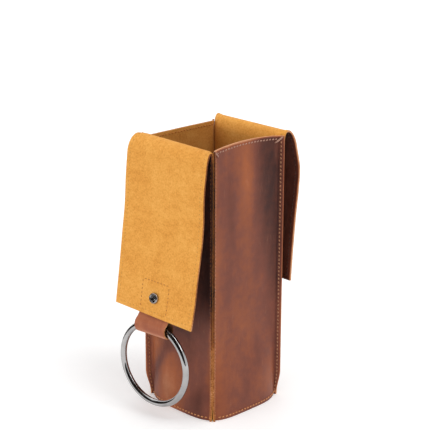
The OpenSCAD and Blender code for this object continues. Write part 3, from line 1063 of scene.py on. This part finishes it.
@dataclass
class Walls:
    """The four walls, with the two side walls running on through their folds into the flaps."""

    lip_mm: float = 0.35
    lip_wear: float = 1.1
    lip_reach: float = 0.016
    rim_reach: float = 0.0035
    crest_light: float = 0.45
    crest_reach: float = 0.022
    # Painted shade in the seam groove beside one edge of each plain wall.
    groove_dark: float = 0.4
    groove_reach: float = 0.02
    # Painted shade under the flaps: how it rises up the side walls and how much stays on the flaps.
    sheltered: Change = Change(0.28, 0.25, 0.0, 0.95)
    flap_share: Change = Change(1.5, 0.9, 1.0, 0.38)
    # Painted shade on the cut edges of the front-left ridge, deepening towards the top.
    front_edge: Change = Change(0.18, 0.36, -0.02, -0.46)
    left_edge: Change = Change(0.18, 0.36, -0.02, -0.54)
    left_flap_edge: tuple[float, float] = (-0.22, 0.0)
    # Painted shade on the flesh side inside the pocket.
    plain_soil: Change = Change(1.0, 0.2, 0.34, 0.0)
    side_soil: Change = Change(0.9, 0.2, 0.34, 0.0)
    lit_corner: float = -0.9
    front_edge_usual: float = 0.3
    right_edge_usual: float = 0.2
    edge_usual: float = 0.06
    wall_columns: int = 22
    bend_columns: int = 6
    seam_columns: int = 4
    plain_rows: int = 90
    side_rows: int = 86
    fold_rows: int = 30
    flap_rows: int = 56

    def stretch(self, side: Side, v: float, run: float) -> float:
        """How far the grain is lighter or darker: rubbed wear at the raw edges and the plain walls'
        rim, a painted highlight along one seam crest of each wall, and patches of painted highlight
        and shade.

        Args:
            side: which wall.
            v: place across.
            run: place along.

        Returns:
            The share.
        """
        # Painted highlight along the seam crest on one side of each wall.
        lit = self.crest_light if (side is Side.FRONT) == (v < 0) else 0.0
        rubbed = max(hump(abs(v), 1, self.lip_reach),
                     hump(run, 1, self.rim_reach) if side.plain else 0.0)
        return (hump(abs(v), HIDE.wall_share, self.crest_reach) * lit + rubbed * self.lip_wear
                + sum(spot.at(v, run) for spot in LIGHT_AND_TONE_SPOTS[side]))

    def depth(self, side: Side, v: float, run: float) -> float:
        """Painted shade on the grain: in the seam groove beside one edge of each plain wall, and on
        the side walls under the flaps, less on the flaps themselves.

        Args:
            side: which wall.
            v: place across.
            run: place along.

        Returns:
            The share.
        """
        if not side.plain:
            return self.sheltered.at(run) * self.flap_share.at(run)
        groove = hump(abs(v), HIDE.wall_share + self.groove_reach, self.groove_reach)
        return groove * self.groove_dark if v > 0 else 0.0

    def edge(self, side: Side, v: float, run: float) -> float:
        """How light the cut edge is: lighter on the front and right walls than on the others, with
        painted shade that darkens both cut edges of the front-left ridge towards the top, and
        darker on the left flap's front edge from the fold, fading towards its end.

        Args:
            side: which wall.
            v: place across.
            run: place along.

        Returns:
            The share.
        """
        if side is Side.FRONT:
            return self.front_edge_usual if v > self.lit_corner else self.front_edge.at(run)
        if side is Side.LEFT and v > 0:
            return self.left_edge.at(run) if run < 1 else mix(*self.left_flap_edge, (run - 1) / 2)
        return self.right_edge_usual if side is Side.RIGHT else self.edge_usual

    def soil(self, side: Side, v: float, run: float) -> float:
        """Painted shade on the flesh side inside the pocket: even down the plain walls, fading out
        at the top of the side walls, none on the flaps.
        """
        return (self.plain_soil if side.plain else self.side_soil).at(run)

    def columns(self) -> list[float]:
        """Places across a wall, close together at its bends and raw edges.

        Returns:
            The places.
        """
        lip, bend = self.lip_mm / HIDE.flat_half, HIDE.bend_round / HIDE.flat_half
        low, high = HIDE.wall_share - bend, HIDE.wall_share + bend
        half = (even_steps(0, low, self.wall_columns) + even_steps(low, high, self.bend_columns)[1:]
                + even_steps(high, 1 - lip, self.seam_columns)[1:] + [1.0])
        return [-x for x in reversed(half[1:])] + half

    def rows(self, side: Side) -> list[float]:
        """Places along a wall's cut piece, close together at its raw edges.

        Args:
            side: which wall.

        Returns:
            The places.
        """
        lip = self.lip_mm / HIDE.wall_h(side)
        if side.plain:
            return [0.0] + even_steps(lip, 1 - 4 * lip, self.plain_rows) + [1 - lip, 1.0]
        end = 3 - self.lip_mm / FLAP_CUTS[side].drop
        return ([0.0] + even_steps(lip, 1, self.side_rows) + even_steps(1, 2, self.fold_rows)[1:]
                + even_steps(2, end, self.flap_rows)[1:] + [3.0])

    def build(self) -> None:
        """Make and place the walls."""
        tones = {"stretch": self.stretch, "depth": self.depth, "edge": self.edge, "soil": self.soil}
        for side in Side:
            word = side.word
            sheet = LeatherSheet(
                f"{word}_wall_leather" if side.plain else f"{word}_wall_and_flap_leather", side,
                self.columns(), self.rows(side), HIDE.surface(side),
                {name: partial(tone, side) for name, tone in tones.items()})
            piece = sheet.build(GRAIN, FLESH, EDGE)
            if side.plain:
                settle(piece, "carrier", "grain_leather", f"{word}_panel")
            else:
                settle(piece, Bend(side), "suede_leather", f"{word}_panel", f"{word}_fold",
                       f"{word}_flap")


@dataclass
class Base:
    """The tray that closes the pocket, grain side down."""

    steps: int = 96
    insets: tuple[float, ...] = (1.2, 14.0, 14.0)
    turn_up: float = 1.0

    def outline(self, angle: float, half: float) -> Vector:
        """Point of the rounded square.

        Args:
            angle: degrees from the front's middle.
            half: half its width.

        Returns:
            The point in millimetres.
        """
        side = Side(int(angle // 90) % 4 * 90)
        power = 2 / HIDE.foot_power(side)
        a = math.radians(angle % 90)
        return side.turn() @ Vector((half * math.sin(a) ** power, -half * math.cos(a) ** power, 0))

    def build(self) -> None:
        """Make and place the tray."""
        half = HIDE.foot_w / 2 - HIDE.leather_t - HIDE.base_gap
        bm = bmesh.new()
        bmesh.ops.create_circle(bm, cap_ends=True, radius=1.0, segments=self.steps)
        for vert in bm.verts:
            angle = math.degrees(math.atan2(vert.co.x, -vert.co.y)) % 360
            vert.co = self.outline(angle, half) * MM
        bmesh.ops.recalc_face_normals(bm, faces=bm.faces[:])
        floor = bm.faces[:]
        if floor[0].normal.z > 0:
            bmesh.ops.reverse_faces(bm, faces=floor)
        for inset in self.insets:
            bmesh.ops.inset_region(bm, faces=floor, thickness=inset * MM)
        rim = [e for e in bm.edges if e.is_boundary]
        for up in (self.turn_up, HIDE.base_rim_h - self.turn_up):
            grown = bmesh.ops.extrude_edge_only(bm, edges=rim)["geom"]
            bmesh.ops.translate(bm, verts=[g for g in grown if isinstance(g, bmesh.types.BMVert)],
                                vec=(0, 0, up * MM))
            rim = [g for g in grown if isinstance(g, bmesh.types.BMEdge) and g.is_boundary]
        uv = bm.loops.layers.uv.new(CUT_MAP)
        for vert in bm.verts:
            p = vert.co / MM
            for loop in vert.link_loops:
                loop[uv].uv = ((p.x + p.z) / CUT_UNIT, (p.y + p.z) / CUT_UNIT)
        bmesh.ops.recalc_face_normals(bm, faces=bm.faces[:])
        piece = finished("base_tray_leather", bm, GRAIN, FLESH, EDGE)
        thicken(piece, HIDE.leather_t, offset=-1.0)
        settle(piece, "carrier", "grain_leather", "base_panel")


@dataclass(frozen=True)
class StitchRun:
    """A row of stitches on one side's leather, free of them for a length at its start.

    Its path is a list of places across and along.
    """

    side: Side
    path: Sequence[tuple[float, float]]
    face: Face = Face.GRAIN
    start: float = 0.0


@dataclass
class Stitching:
    """One piece made of single stitches.

    Each sinks into the leather a little and is slanted out of its row by an angle in degrees. It
    bends at its cuts, which are shares of its length. Its ends lose a share of their width, the
    taper. Its crown stands up and its ends dip by so many radii.
    """

    name: str
    pitch: float = 3.8
    length: float = 2.9
    radius: float = 0.6
    sink: float = 0.1
    slant: float = 0.0
    cuts: tuple[float, ...] = (-0.34, -0.12, 0.12, 0.34)
    taper: float = 0.65
    crown: float = 0.35
    dip: float = 1.1
    bm: bmesh.types.BMesh = field(default_factory=bmesh.new)

    def template(self) -> bmesh.types.BMesh:
        """One stitch along X with its ends narrower and dipping in, +Z out of the leather.

        Returns:
            Its shape in millimetres.
        """
        bm = bmesh.new()
        bmesh.ops.create_cone(bm, segments=6, radius1=self.radius, radius2=self.radius,
                              depth=self.length, cap_ends=True)
        for share in self.cuts:
            bmesh.ops.bisect_plane(bm, geom=bm.verts[:] + bm.edges[:] + bm.faces[:],
                                   plane_co=(0, 0, share * self.length), plane_no=(0, 0, 1))
        bmesh.ops.rotate(bm, verts=bm.verts[:], matrix=Matrix.Rotation(math.pi / 2, 3, "Y"))
        for vert in bm.verts:
            x = abs(vert.co.x) / (self.length / 2)
            shrink = 1.0 - self.taper * x ** 3
            vert.co.y *= shrink
            vert.co.z = vert.co.z * shrink + self.radius * (self.crown - self.dip * x ** 4)
        return bm

    def add(self, run: StitchRun, steps: int = 240) -> None:
        """Lay the stitches of one run.

        Args:
            run: the row.
            steps: how finely its path is measured.
        """
        surface = HIDE.surface(run.side)
        legs = len(run.path) - 1
        track = []
        tiny = 1e-9
        for k in range(steps + 1):
            leg, f = divmod(min(k / steps * legs, legs - tiny), 1)
            ends = zip(run.path[int(leg)], run.path[int(leg) + 1])
            track.append([mix(a, b, f) for a, b in ends])
        points = [surface(v, r) for v, r in track]
        lengths = [0.0]
        for p, q in zip(points, points[1:]):
            lengths.append(lengths[-1] + (q - p).length)
        free = lengths[-1] - run.start
        stitches = max(1, int(free / self.pitch))
        at = 0
        for k in range(stitches):
            s = run.start + (free - stitches * self.pitch) / 2 + (k + 0.5) * self.pitch
            while lengths[at + 1] < s:
                at += 1
            f = (s - lengths[at]) / max(lengths[at + 1] - lengths[at], tiny)
            v, r = (mix(a, b, f) for a, b in zip(track[at], track[at + 1]))
            normal = grain_normal(surface, v, r) * run.face.value
            self.lay(surface(v, r) + normal * (HIDE.leather_t / 2 - self.sink),
                     points[at + 1] - points[at], normal, run.side)

    def lay(self, place: Vector, along: Vector, normal: Vector, side: Side,
            length: float = 0.0) -> None:
        """Lay one stitch.

        Args:
            place: its middle, made at the front.
            along: the way that it runs.
            normal: direction out of the leather.
            side: the side that it is turned to.
            length: its length, if it isn't the usual one.
        """
        along = (along - normal * along.dot(normal)).normalized()
        axes = Matrix((along, normal.cross(along), normal)).transposed().to_4x4()
        shaped = (Matrix.Rotation(math.radians(self.slant), 4, "Z")
                  @ Matrix.Diagonal(((length or self.length) / self.length, 1.0, 1.0, 1.0)))
        template = self.template()
        template.transform(Matrix.Scale(MM, 4) @ side.turn() @ Matrix.Translation(place) @ axes
                           @ shaped)
        mesh = bpy.data.meshes.new("stitch_form")
        template.to_mesh(mesh)
        template.free()
        self.bm.from_mesh(mesh)
        bpy.data.meshes.remove(mesh)

    def settle(self, thread: Finish, body: str | Bend, *nodes: str) -> None:
        """Make and place the piece from the stitches laid so far."""
        settle(finished(self.name, self.bm, thread), body, "thread", *nodes)


@dataclass
class Seams:
    """All the thread: corner seams, base seam, rim rows, flap rows and tab boxes.

    Short is how far across a row stops before the bend at each end.
    """

    seam_inset: float = 3.3
    seam_start: float = 2.0
    base_inset: float = 3.0
    base_short: float = 0.02
    rim_inset: float = 3.0
    rim_short: float = 0.015
    row_legs: int = 16
    flap_inset: float = 4.0
    flap_start: float = 1.05
    tab_inset: float = 2.0
    tab_clear: float = 1.5
    thread_lift: float = 1.2
    suede_sink: float = 0.42
    loop_high: tuple[float, float] = (0.97, 0.7)
    loop_low: tuple[float, float] = (0.80, 6.4)
    loops_apart: float = 1.3
    loop_lift: float = 1.15
    loop_rests: tuple[float, float] = (0.80, 0.95)
    loop_run: float = 0.97
    loop_r: float = 0.55
    loop_over: float = 1.0
    knot_form: tuple[float, float, float] = (1.1, 0.9, 0.8)
    knot_past_bend: float = 0.004
    knot_height: float = 0.9
    knot_lift: float = 1.4
    tail_lift: float = 1.6
    tail_length: float = 2.6
    tail_r: float = 0.34
    tail_way: tuple[float, float, float] = (0.6, -0.4, 0.5)
    tail_reach: float = 1.1
    tail_tilts: tuple[float, float] = (-0.5, 0.35)

    def corner(self, side: Side) -> None:
        """Both faces of the corner seam after a side, from the floor to the rim.

        Args:
            side: the side before the corner.
        """
        name = "_".join(sorted((side.word, side.beside(1).word)))
        work = Stitching(f"{name}_seam_stitches", slant=10.0, length=2.7, radius=0.7)
        v = mix(HIDE.wall_share, 1, 1 - self.seam_inset / HIDE.seam_w)
        for place, sign in ((side, 1), (side.beside(1), -1)):
            height = HIDE.wall_h(place)
            top = min((HIDE.body_h - self.rim_inset) / height, 1.0)
            work.add(StitchRun(place, [(sign * v, self.seam_start / height), (sign * v, top)]))
        # The two seams at the left wall get the seam thread darkened as painted shade.
        work.settle(DIM_THREAD if side in (Side.LEFT, Side.BACK) else SEAM_THREAD, "carrier",
                    f"{name}_seam")

    def base(self) -> None:
        """The row just above the floor."""
        work = Stitching("base_seam_stitches", slant=8.0, radius=0.72)
        end = HIDE.wall_share - self.base_short
        for side in Side:
            share = self.base_inset / HIDE.wall_h(side)
            work.add(StitchRun(side, [(v, share) for v in even_steps(-end, end, self.row_legs)]))
        work.settle(FOOT_THREAD, "carrier", "base_seam")

    def corner_loops(self) -> None:
        """Two long threads that slant over each rim corner, where the seam is fastened off.

        Their ends are given as the share across and the drop below the rim.
        """
        work = Stitching("corner_thread_loops", radius=self.loop_r)
        for side in (Side.FRONT, Side.BACK):
            surface = HIDE.surface(side)
            for sign in (-1, 1):
                out = sum((grain_normal(surface, sign * v, self.loop_run)
                           for v in self.loop_rests), Vector()).normalized()
                for shift in (0.0, self.loops_apart / HIDE.flat_half):
                    high, low = (surface(sign * (v - shift), 1 - drop / HIDE.body_h)
                                 for v, drop in (self.loop_high, self.loop_low))
                    work.lay((high + low) / 2 + out * self.loop_lift, high - low, out, side,
                             (high - low).length + self.loop_over)
        work.settle(RIM_THREAD, "carrier")

    def knots(self) -> None:
        """The small knot and thread ends where the base seam is fastened off at each corner."""
        work = Stitching("base_corner_knots", radius=self.tail_r)
        share = self.base_inset / HIDE.body_h
        for side in Side:
            surface = HIDE.surface(side)
            spot = surface(HIDE.wall_share + self.knot_past_bend, share * self.knot_height)
            normal = grain_normal(surface, HIDE.wall_share, share)
            bmesh.ops.create_icosphere(
                work.bm, subdivisions=2, radius=1.0, matrix=Matrix.Scale(MM, 4) @ side.turn()
                @ Matrix.Translation(spot + normal * self.knot_lift)
                @ Matrix.Diagonal((*self.knot_form, 1.0)))
            for tilt in self.tail_tilts:
                x, y, z = self.tail_way
                end = Vector((x + tilt, y, z - tilt))
                work.lay(spot + normal * self.tail_lift + end * self.tail_reach, end, normal, side,
                         self.tail_length)
        work.settle(FOOT_THREAD, "carrier")

    def rim(self, side: Side) -> None:
        """The row below a plain wall's rim, on both faces.

        Args:
            side: front or back.
        """
        share = 1 - self.rim_inset / HIDE.body_h
        end = HIDE.wall_share - self.rim_short
        path = [(v, share) for v in even_steps(-end, end, self.row_legs)]
        for face, thread, nodes in ((Face.GRAIN, RIM_THREAD, [f"{side.word}_rim_stitch"]),
                                    (Face.FLESH, BOX_THREAD, [])):
            work = Stitching(f"{side.word}_rim_{face.name.lower()}_stitches", slant=20.0,
                             length=2.7, radius=0.7)
            work.add(StitchRun(side, path, face))
            work.settle(thread, "carrier", *nodes)

    def flap(self, side: Side) -> None:
        """The rows round a flap, from its fold down and across its end, clear of the tab.

        Args:
            side: left or right.
        """
        v = 1 - self.flap_inset / HIDE.flat_half
        end = 3 - self.flap_inset / FLAP_CUTS[side].drop
        tab_v = (RingTab.tab_w / 2 + self.tab_clear) / HIDE.flat_half
        # The grain-side rows face the wall and take the thread darkened as painted shade.
        for face, thread, sink, spans, nodes in (
                (Face.GRAIN, SHADE_THREAD, Stitching.sink, [(-v, -tab_v), (tab_v, v)],
                 [f"{side.word}_flap_stitch"]),
                (Face.FLESH, SUEDE_THREAD, self.suede_sink, [(-v, v)], [])):
            work = Stitching(f"{side.word}_flap_{face.name.lower()}_stitches", sink=sink)
            for path in ([[(s, self.flap_start), (s, 2.0), (s, end)] for s in (-v, v)]
                         + [[(a, end), (b, end)] for a, b in spans]):
                work.add(StitchRun(side, path, face))
            work.settle(thread, Bend(side, face.value * self.thread_lift), *nodes)

    def tab_box(self, side: Side) -> None:
        """The box of stitches that holds a tab, on the flesh side of its flap.

        Args:
            side: left or right.
        """
        drop = FLAP_CUTS[side].drop
        half = (RingTab.tab_w / 2 - self.tab_inset) / HIDE.flat_half
        top = 3 - (RingTab.tab_sewn - self.tab_inset) / drop
        corners = [(-half, 3 - self.flap_inset / drop), (-half, top), (half, top),
                   (half, 3 - self.flap_inset / drop)]
        work = Stitching(f"{side.word}_tab_stitches", sink=self.suede_sink)
        for path in zip(corners, corners[1:]):
            work.add(StitchRun(side, path, Face.FLESH, start=0.8))
        work.settle(BOX_THREAD, f"{side.word}_flap", f"{side.word}_tab_stitch")

    def build(self) -> None:
        """Sew everything."""
        for side in Side:
            self.corner(side)
        self.base()
        self.corner_loops()
        self.knots()
        for side in (Side.FRONT, Side.BACK):
            self.rim(side)
        for side in (Side.LEFT, Side.RIGHT):
            self.flap(side)
            self.tab_box(side)


@dataclass
class RingTab:
    """A tab sewn under a flap's end, folded tightly round its ring, and how the ring hangs in it.

    Here run 0 to 1 is the layer next to the flap, 1 to 2 the loop and 2 to 3 the inner layer.
    """

    side: Side
    tab_t: float = 1.6
    tab_w: float = 36.0
    tab_sewn: float = 34.0
    loop_drop: float = 10.4
    ring_d: float = 77.8
    ring_wire: float = 6.0
    ring_clear: float = 0.7
    ring_swing: float = 20.0
    loop_open: float = 30.0
    loop_round: float = 0.10
    lip_mm: float = 0.3
    grain_tone: float = 0.2
    crest_at: float = 1.38
    crest_reach: float = 0.045
    crest_light: float = 0.5
    shade_at: float = 1.26
    shade_reach: float = 0.07
    shade_dark: float = 0.25
    edge_tone: Change = Change(1.5, 0.2, 0.1, -0.35)
    hidden_soil: Change = Change(0.9, 0.2)
    flat_share: float = 0.86
    loop_share: float = 0.9
    loop_steps: int = 36
    tab_rows: int = 14
    tab_columns: int = 16

    @property
    def ring_gap(self) -> float:
        """Room between the ring and the wall behind it."""
        return 22.0 if self.side is Side.LEFT else 2.5

    @property
    def ring_turn(self) -> float:
        """Turn of the hanging ring about the vertical, in radians."""
        return math.radians(5.4 if self.side is Side.LEFT else -8.0)

    @property
    def sag(self) -> float:
        """Drop of the wire from the middle of the tab to its edge."""
        return (self.ring_d - math.sqrt(self.ring_d ** 2 - self.tab_w ** 2)) / 2

    @property
    def hang(self) -> float:
        """Distance of the ring's middle below the loop's middle."""
        return (self.ring_d - self.sag) / 2

    def loop_middle(self, u: float) -> Vector:
        """Middle of the loop, made at the front.

        Args:
            u: distance along it from the tab's middle.

        Returns:
            The point in millimetres.
        """
        z = HIDE.flap_z - FLAP_CUTS[self.side].drop - self.loop_drop
        low = HIDE.section(self.side, 0, z - self.hang - self.ring_d / 2)[1]
        beside = (HIDE.section(self.side, 0, z - self.hang)[1]
                  + self.ring_d / 2 * math.sin(abs(self.ring_turn)))
        out = max(low, beside) + HIDE.leather_t / 2 + self.ring_gap + self.ring_wire / 2
        return Vector((u, u * math.tan(self.ring_turn) - out, z))

    def under_flap(self, v: float, t: float, depth: float) -> Vector:
        """Point at a depth under the flap's grain side."""
        surface = partial(HIDE.flap, self.side)
        return surface(v, t) + grain_normal(surface, v, t) * depth

    def path(self, v: float, run: float) -> Vector:
        """Point of the tab's middle layer: down under the flap, round the ring and back up.

        Args:
            v: place across.
            run: place along.

        Returns:
            The point in millimetres.
        """
        outer = (HIDE.leather_t + self.tab_t) / 2 + HIDE.seam_gap
        inner = outer + self.tab_t + HIDE.seam_gap
        drop = FLAP_CUTS[self.side].drop
        start, end = 1 - self.tab_sewn / drop, 1 + self.tab_t / drop
        if run <= 1:
            return self.under_flap(v, mix(start, end, run), outer)
        if run >= 2:
            return self.under_flap(v, mix(end, start, run - 2), inner)
        wire, half_sag = self.ring_wire / 2, self.sag / 2
        slope = math.asin(self.tab_w / self.ring_d)
        high_in = wire / math.cos(slope) + half_sag + self.ring_clear
        wide_in = ((wire + self.ring_clear + half_sag * math.sin(math.radians(self.ring_swing)))
                   / math.sqrt(1 - (half_sag / high_in) ** 2))
        middle = self.loop_middle(v * HIDE.flat_half)
        up = (self.under_flap(v, end, (outer + inner) / 2) - middle).normalized()
        high = up * (high_in + self.tab_t / 2)
        wide = up.cross(Vector((1, 0, 0))) * (wide_in + self.tab_t / 2)
        a = math.radians(mix(self.loop_open, 360 - self.loop_open, run - 1))
        return middle - wide * math.sin(a) + high * math.cos(a)

    def eased(self, v: float, run: float) -> Vector:
        """The path with its two turns into the loop rounded.

        Args:
            v: place across.
            run: place along.

        Returns:
            The point in millimetres.
        """
        reach = self.loop_round
        for turn in (1.0, 2.0):
            if abs(run - turn) < reach:
                ends = (self.path(v, turn + d) for d in (-reach, 0.0, reach))
                return bow(*ends, (run - turn + reach) / (2 * reach))
        return self.path(v, run)

    def build(self) -> None:
        """Make and place the tab. Its grain has a lighter crest on the loop, painted highlight and
        rub, lighter towards one edge, with painted shade above it. Painted shade darkens its flesh
        side over the loop and the inner layer, and its cut edge is darker from the loop's middle
        on.
        """
        word = self.side.word
        half, lip = self.tab_w / 2 / HIDE.flat_half, self.lip_mm / HIDE.flat_half
        columns = [-half] + even_steps(-half + lip, half - lip, self.tab_columns) + [half]
        rows = (even_steps(0, self.flat_share, self.tab_rows)
                + even_steps(self.loop_share, 3 - self.loop_share, self.loop_steps)
                + even_steps(3 - self.flat_share, 3, self.tab_rows))
        tones = {
            # Painted highlight on the loop's crest, painted shade just above it.
            "stretch": lambda v, r: (
                self.grain_tone - self.shade_dark * hump(r, self.shade_at, self.shade_reach)
                + (self.crest_light + v) * hump(r, self.crest_at, self.crest_reach)),
            "edge": lambda v, r: self.edge_tone.at(r),
            # Painted shade on the flesh side over the loop and the inner layer.
            "soil": lambda v, r: self.hidden_soil.at(r)}
        sheet = LeatherSheet(f"{word}_ring_tab_leather", self.side, columns, rows, self.eased,
                             tones, thickness=self.tab_t, lip=0.75)
        settle(sheet.build(FLESH, TAB_GRAIN, EDGE), f"{word}_flap", "tab_leather", f"{word}_tab")


@dataclass
class CarryingRing:
    """A welded steel ring that hangs in its tab."""

    tab: RingTab
    wire_steps: int = 28
    ring_steps: int = 128

    def build(self) -> None:
        """Make and place the ring."""
        tab, word = self.tab, self.tab.side.word
        wire = tab.ring_wire / 2
        circle = [(tab.ring_d / 2 + wire * math.sin(a), wire * math.cos(a))
                  for a in even_steps(0, 2 * math.pi, self.wire_steps)[:-1]]
        middle = tab.loop_middle(0) - Vector((0, 0, tab.hang))
        place = (tab.side.turn() @ Matrix.Translation(middle)
                 @ Matrix.Rotation(tab.ring_turn, 4, "Z") @ Matrix.Rotation(-math.pi / 2, 4, "X"))
        piece = finished(f"{word}_steel_ring", spun(circle, self.ring_steps, place), RING_PLATE)
        settle(piece, f"{word}_ring", "ring_steel", f"{word}_ring")


@dataclass
class Snap:
    """One half of the snap, through a flap and its tab. Its profiles are radius and height."""

    tab: RingTab
    snap_up: float = 17.0
    shank_r: float = 1.9
    clear: float = 0.1
    cap_r: float = 6.25
    cap_h: float = 2.2
    socket_r: float = 5.2
    socket_h: float = 2.8
    knob_r: float = 2.9
    knob_h: float = 2.2
    sheet: float = 0.6
    steps: int = 48
    dome_steps: int = 10

    def place(self) -> Matrix:
        """Frame of the snap: origin in the flap's middle layer, +Z out of the flesh side.

        Returns:
            The matrix, in millimetres.
        """
        side = self.tab.side
        surface = partial(HIDE.flap, side)
        t = 1 - self.snap_up / FLAP_CUTS[side].drop
        turn = (-grain_normal(surface, 0, t)).to_track_quat("Z", "Y").to_matrix().to_4x4()
        return side.turn() @ Matrix.Translation(surface(0, t)) @ turn

    def profiles(self) -> dict[str, tuple[str, list[tuple[float, float]]]]:
        """Sections of the pieces of this half: the grip on the left flap, the knob on the right.

        Returns:
            The node and the profile of each piece, by the piece's name.
        """
        gap, s, c = HIDE.seam_gap, self.sheet, self.clear
        f, low = HIDE.leather_t / 2 + gap, -HIDE.leather_t / 2 - 2 * (self.tab.tab_t + gap) - gap
        r, shank, knob, held = self.socket_r, self.shank_r, self.knob_r, self.knob_r + self.clear
        if self.tab.side is Side.LEFT:
            top, crimp = f + self.socket_h, f + s + c
            dome = [(self.cap_r * math.sin(a), low - self.cap_h * math.cos(a))
                    for a in even_steps(0, math.pi / 2, self.dome_steps)]
            return {
                "snap_socket_plate": ("snap_socket", [
                    (shank + c, f), (r - 0.2, f), (r, f + 0.25), (r, top - 1.8),
                    (r - 0.25, top - 1.0), (r - 0.75, top - 0.3), (r - 1.3, top),
                    (knob + 0.6, top - 0.1), (knob + 0.25, top - 0.35), (held, top - 0.9),
                    (held, f + s), (shank + c, f + s)]),
                "snap_cap_dome": ("snap_cap", dome + [
                    (shank, low), (shank, crimp), (shank + s, crimp + 0.05),
                    (shank + 0.8 * s, crimp + 0.4), (1.0, crimp + 0.55), (0, crimp + 0.2)])}
        top, neck = f + s + self.knob_h, knob - s / 2
        return {
            "snap_knob_stud": ("snap_stud", [
                (shank + c, f), (r - 0.2, f), (r, f + s / 2), (r - 0.3, f + s),
                (neck + 0.3, f + s), (neck, f + s + 0.3), (neck, top - 2 * s), (knob, top - s),
                (knob - 0.15, top - 0.2), (knob - 0.5, top), (shank + c, top)]),
            "snap_knob_post": ("snap_post", [
                (0, low - s), (r - 0.5, low - s), (r, low - s / 2), (r - 0.1, low), (shank, low),
                (shank, top + c), (knob - s, top + c), (knob - 0.8 * s, top + c + s / 2),
                (0, top + c + s / 2)])}

    def build(self) -> None:
        """Make and place the pieces of this half."""
        for name, (node, profile) in self.profiles().items():
            piece = finished(name, spun(profile, self.steps, self.place()), SNAP_PLATE)
            settle(piece, f"{self.tab.side.word}_flap", "snap_steel", node)


@dataclass(frozen=True)
class Lamp:
    """A distant soft lamp, seen from the carrier in a direction, with a spread in degrees."""

    name: str
    towards: tuple[float, float, float]
    spread: float
    strength: float

    def build(self) -> None:
        """Hang the lamp."""
        data = bpy.data.lights.new(self.name, "SUN")
        data.angle, data.energy = math.radians(self.spread), self.strength
        turn = Vector(self.towards).to_track_quat("Z", "Y").to_matrix().to_4x4()
        linked(self.name, data).matrix_world = turn


@dataclass(frozen=True)
class Flag:
    """A black card, turned to the seen ring, that only polished metal and oiled leather mirror.

    Low and high are the middles of its ends. Lengths are in metres.
    """

    name: str
    low: tuple[float, float, float]
    high: tuple[float, float, float]
    width: float
    ring_middle: tuple[float, float, float] = (-0.076, 0.0, 0.054)

    def build(self) -> None:
        """Stand the card."""
        low, high = Vector(self.low), Vector(self.high)
        middle, along = (low + high) / 2, high - low
        across = along.cross(Vector(self.ring_middle) - middle).normalized()
        axes = Matrix((across * self.width, along, across.cross(along).normalized()))
        bm = bmesh.new()
        bmesh.ops.create_grid(bm, x_segments=1, y_segments=1, size=0.5)
        bmesh.ops.transform(bm, verts=bm.verts[:],
                            matrix=Matrix.Translation(middle) @ axes.transposed().to_4x4())
        card = finished(self.name, bm, BLACK_FELT)
        card.visible_camera = card.visible_diffuse = False
        card.visible_shadow = card.visible_transmission = False


@dataclass
class Studio:
    """Pale floor, soft lamps and the camera. Lengths here are in metres."""

    location: tuple[float, float, float] = (-0.8513, -0.8609, 0.5566)
    target: tuple[float, float, float] = (0.00088, -0.00096, 0.18118)
    roll: float = 0.24
    lens: float = 113.46
    floor_size: float = 6.0
    world_light: float = 0.49
    flags: tuple[Flag, ...] = (
        Flag("room_flag", (-0.75, -0.3, 0.0), (-0.26, -0.1, 1.16), 1.7),
        Flag("right_flag", (0.75, -0.3, 0.3), (0.28, -0.28, 0.86), 0.6),
        Flag("left_flag", (-0.24, 0.22, -0.08), (-0.24, 0.22, 0.32), 0.28))
    lamps: tuple[Lamp, ...] = (
        Lamp("left_softbox", (-0.93, 0.27, 0.2), 28.0, 0.72),
        Lamp("front_softbox", (0.13, -0.6, 0.79), 40.0, 0.85),
        Lamp("top_softbox", (0.1, 0.1, 1.0), 90.0, 0.95))

    def camera(self) -> None:
        """Set the camera at the photograph's angle."""
        data = bpy.data.cameras.new("camera")
        data.lens, data.sensor_width = self.lens, 36.0
        data.clip_start, data.clip_end = 0.05, 50.0
        place = Vector(self.location)
        look = (Vector(self.target) - place).to_track_quat("-Z", "Y").to_matrix().to_4x4()
        seen = linked("camera", data)
        seen.matrix_world = (Matrix.Translation(place) @ look
                             @ Matrix.Rotation(math.radians(self.roll), 4, "Z"))
        bpy.context.scene.camera = seen

    def floor(self) -> None:
        """A matt white floor that keeps the object's shadow."""
        bm = bmesh.new()
        bmesh.ops.create_grid(bm, x_segments=1, y_segments=1, size=self.floor_size / 2)
        finished("floor", bm, FLOOR_PAPER)

    def world(self) -> None:
        """A world that is white to the eye, glass and metal, and gives a softer even light."""
        world = bpy.data.worlds.new("studio")
        bpy.context.scene.world = world
        world.use_nodes = True
        tree = world.node_tree
        tree.nodes.clear()
        strength = add_node(tree, "MapRange", {"Value": background_ray(tree),
                                               "To Min": self.world_light, "To Max": 1.0})
        shade = add_node(tree, "Background", {"Color": (1, 1, 1, 1), "Strength": strength})
        add_node(tree, "OutputWorld", {"Surface": shade})

    def build(self) -> None:
        """Set up the studio."""
        self.camera()
        self.floor()
        self.world()
        for thing in self.flags + self.lamps:
            thing.build()
        bpy.context.scene.view_settings.view_transform = "Standard"


def main() -> None:
    """Build the studio and the carrier, report each piece and give the spring its wire finish."""
    logging.basicConfig(level=logging.INFO, format="%(message)s")
    for part in (Studio(), Walls(), Base(), Seams()):
        part.build()
    for side in (Side.LEFT, Side.RIGHT):
        tab = RingTab(side)
        for part in (tab, CarryingRing(tab), Snap(tab)):
            part.build()
    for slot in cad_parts["snap_spring"].material_slots:
        slot.material = SPRING_WIRE.material()


if __name__ == "__main__":
    main()
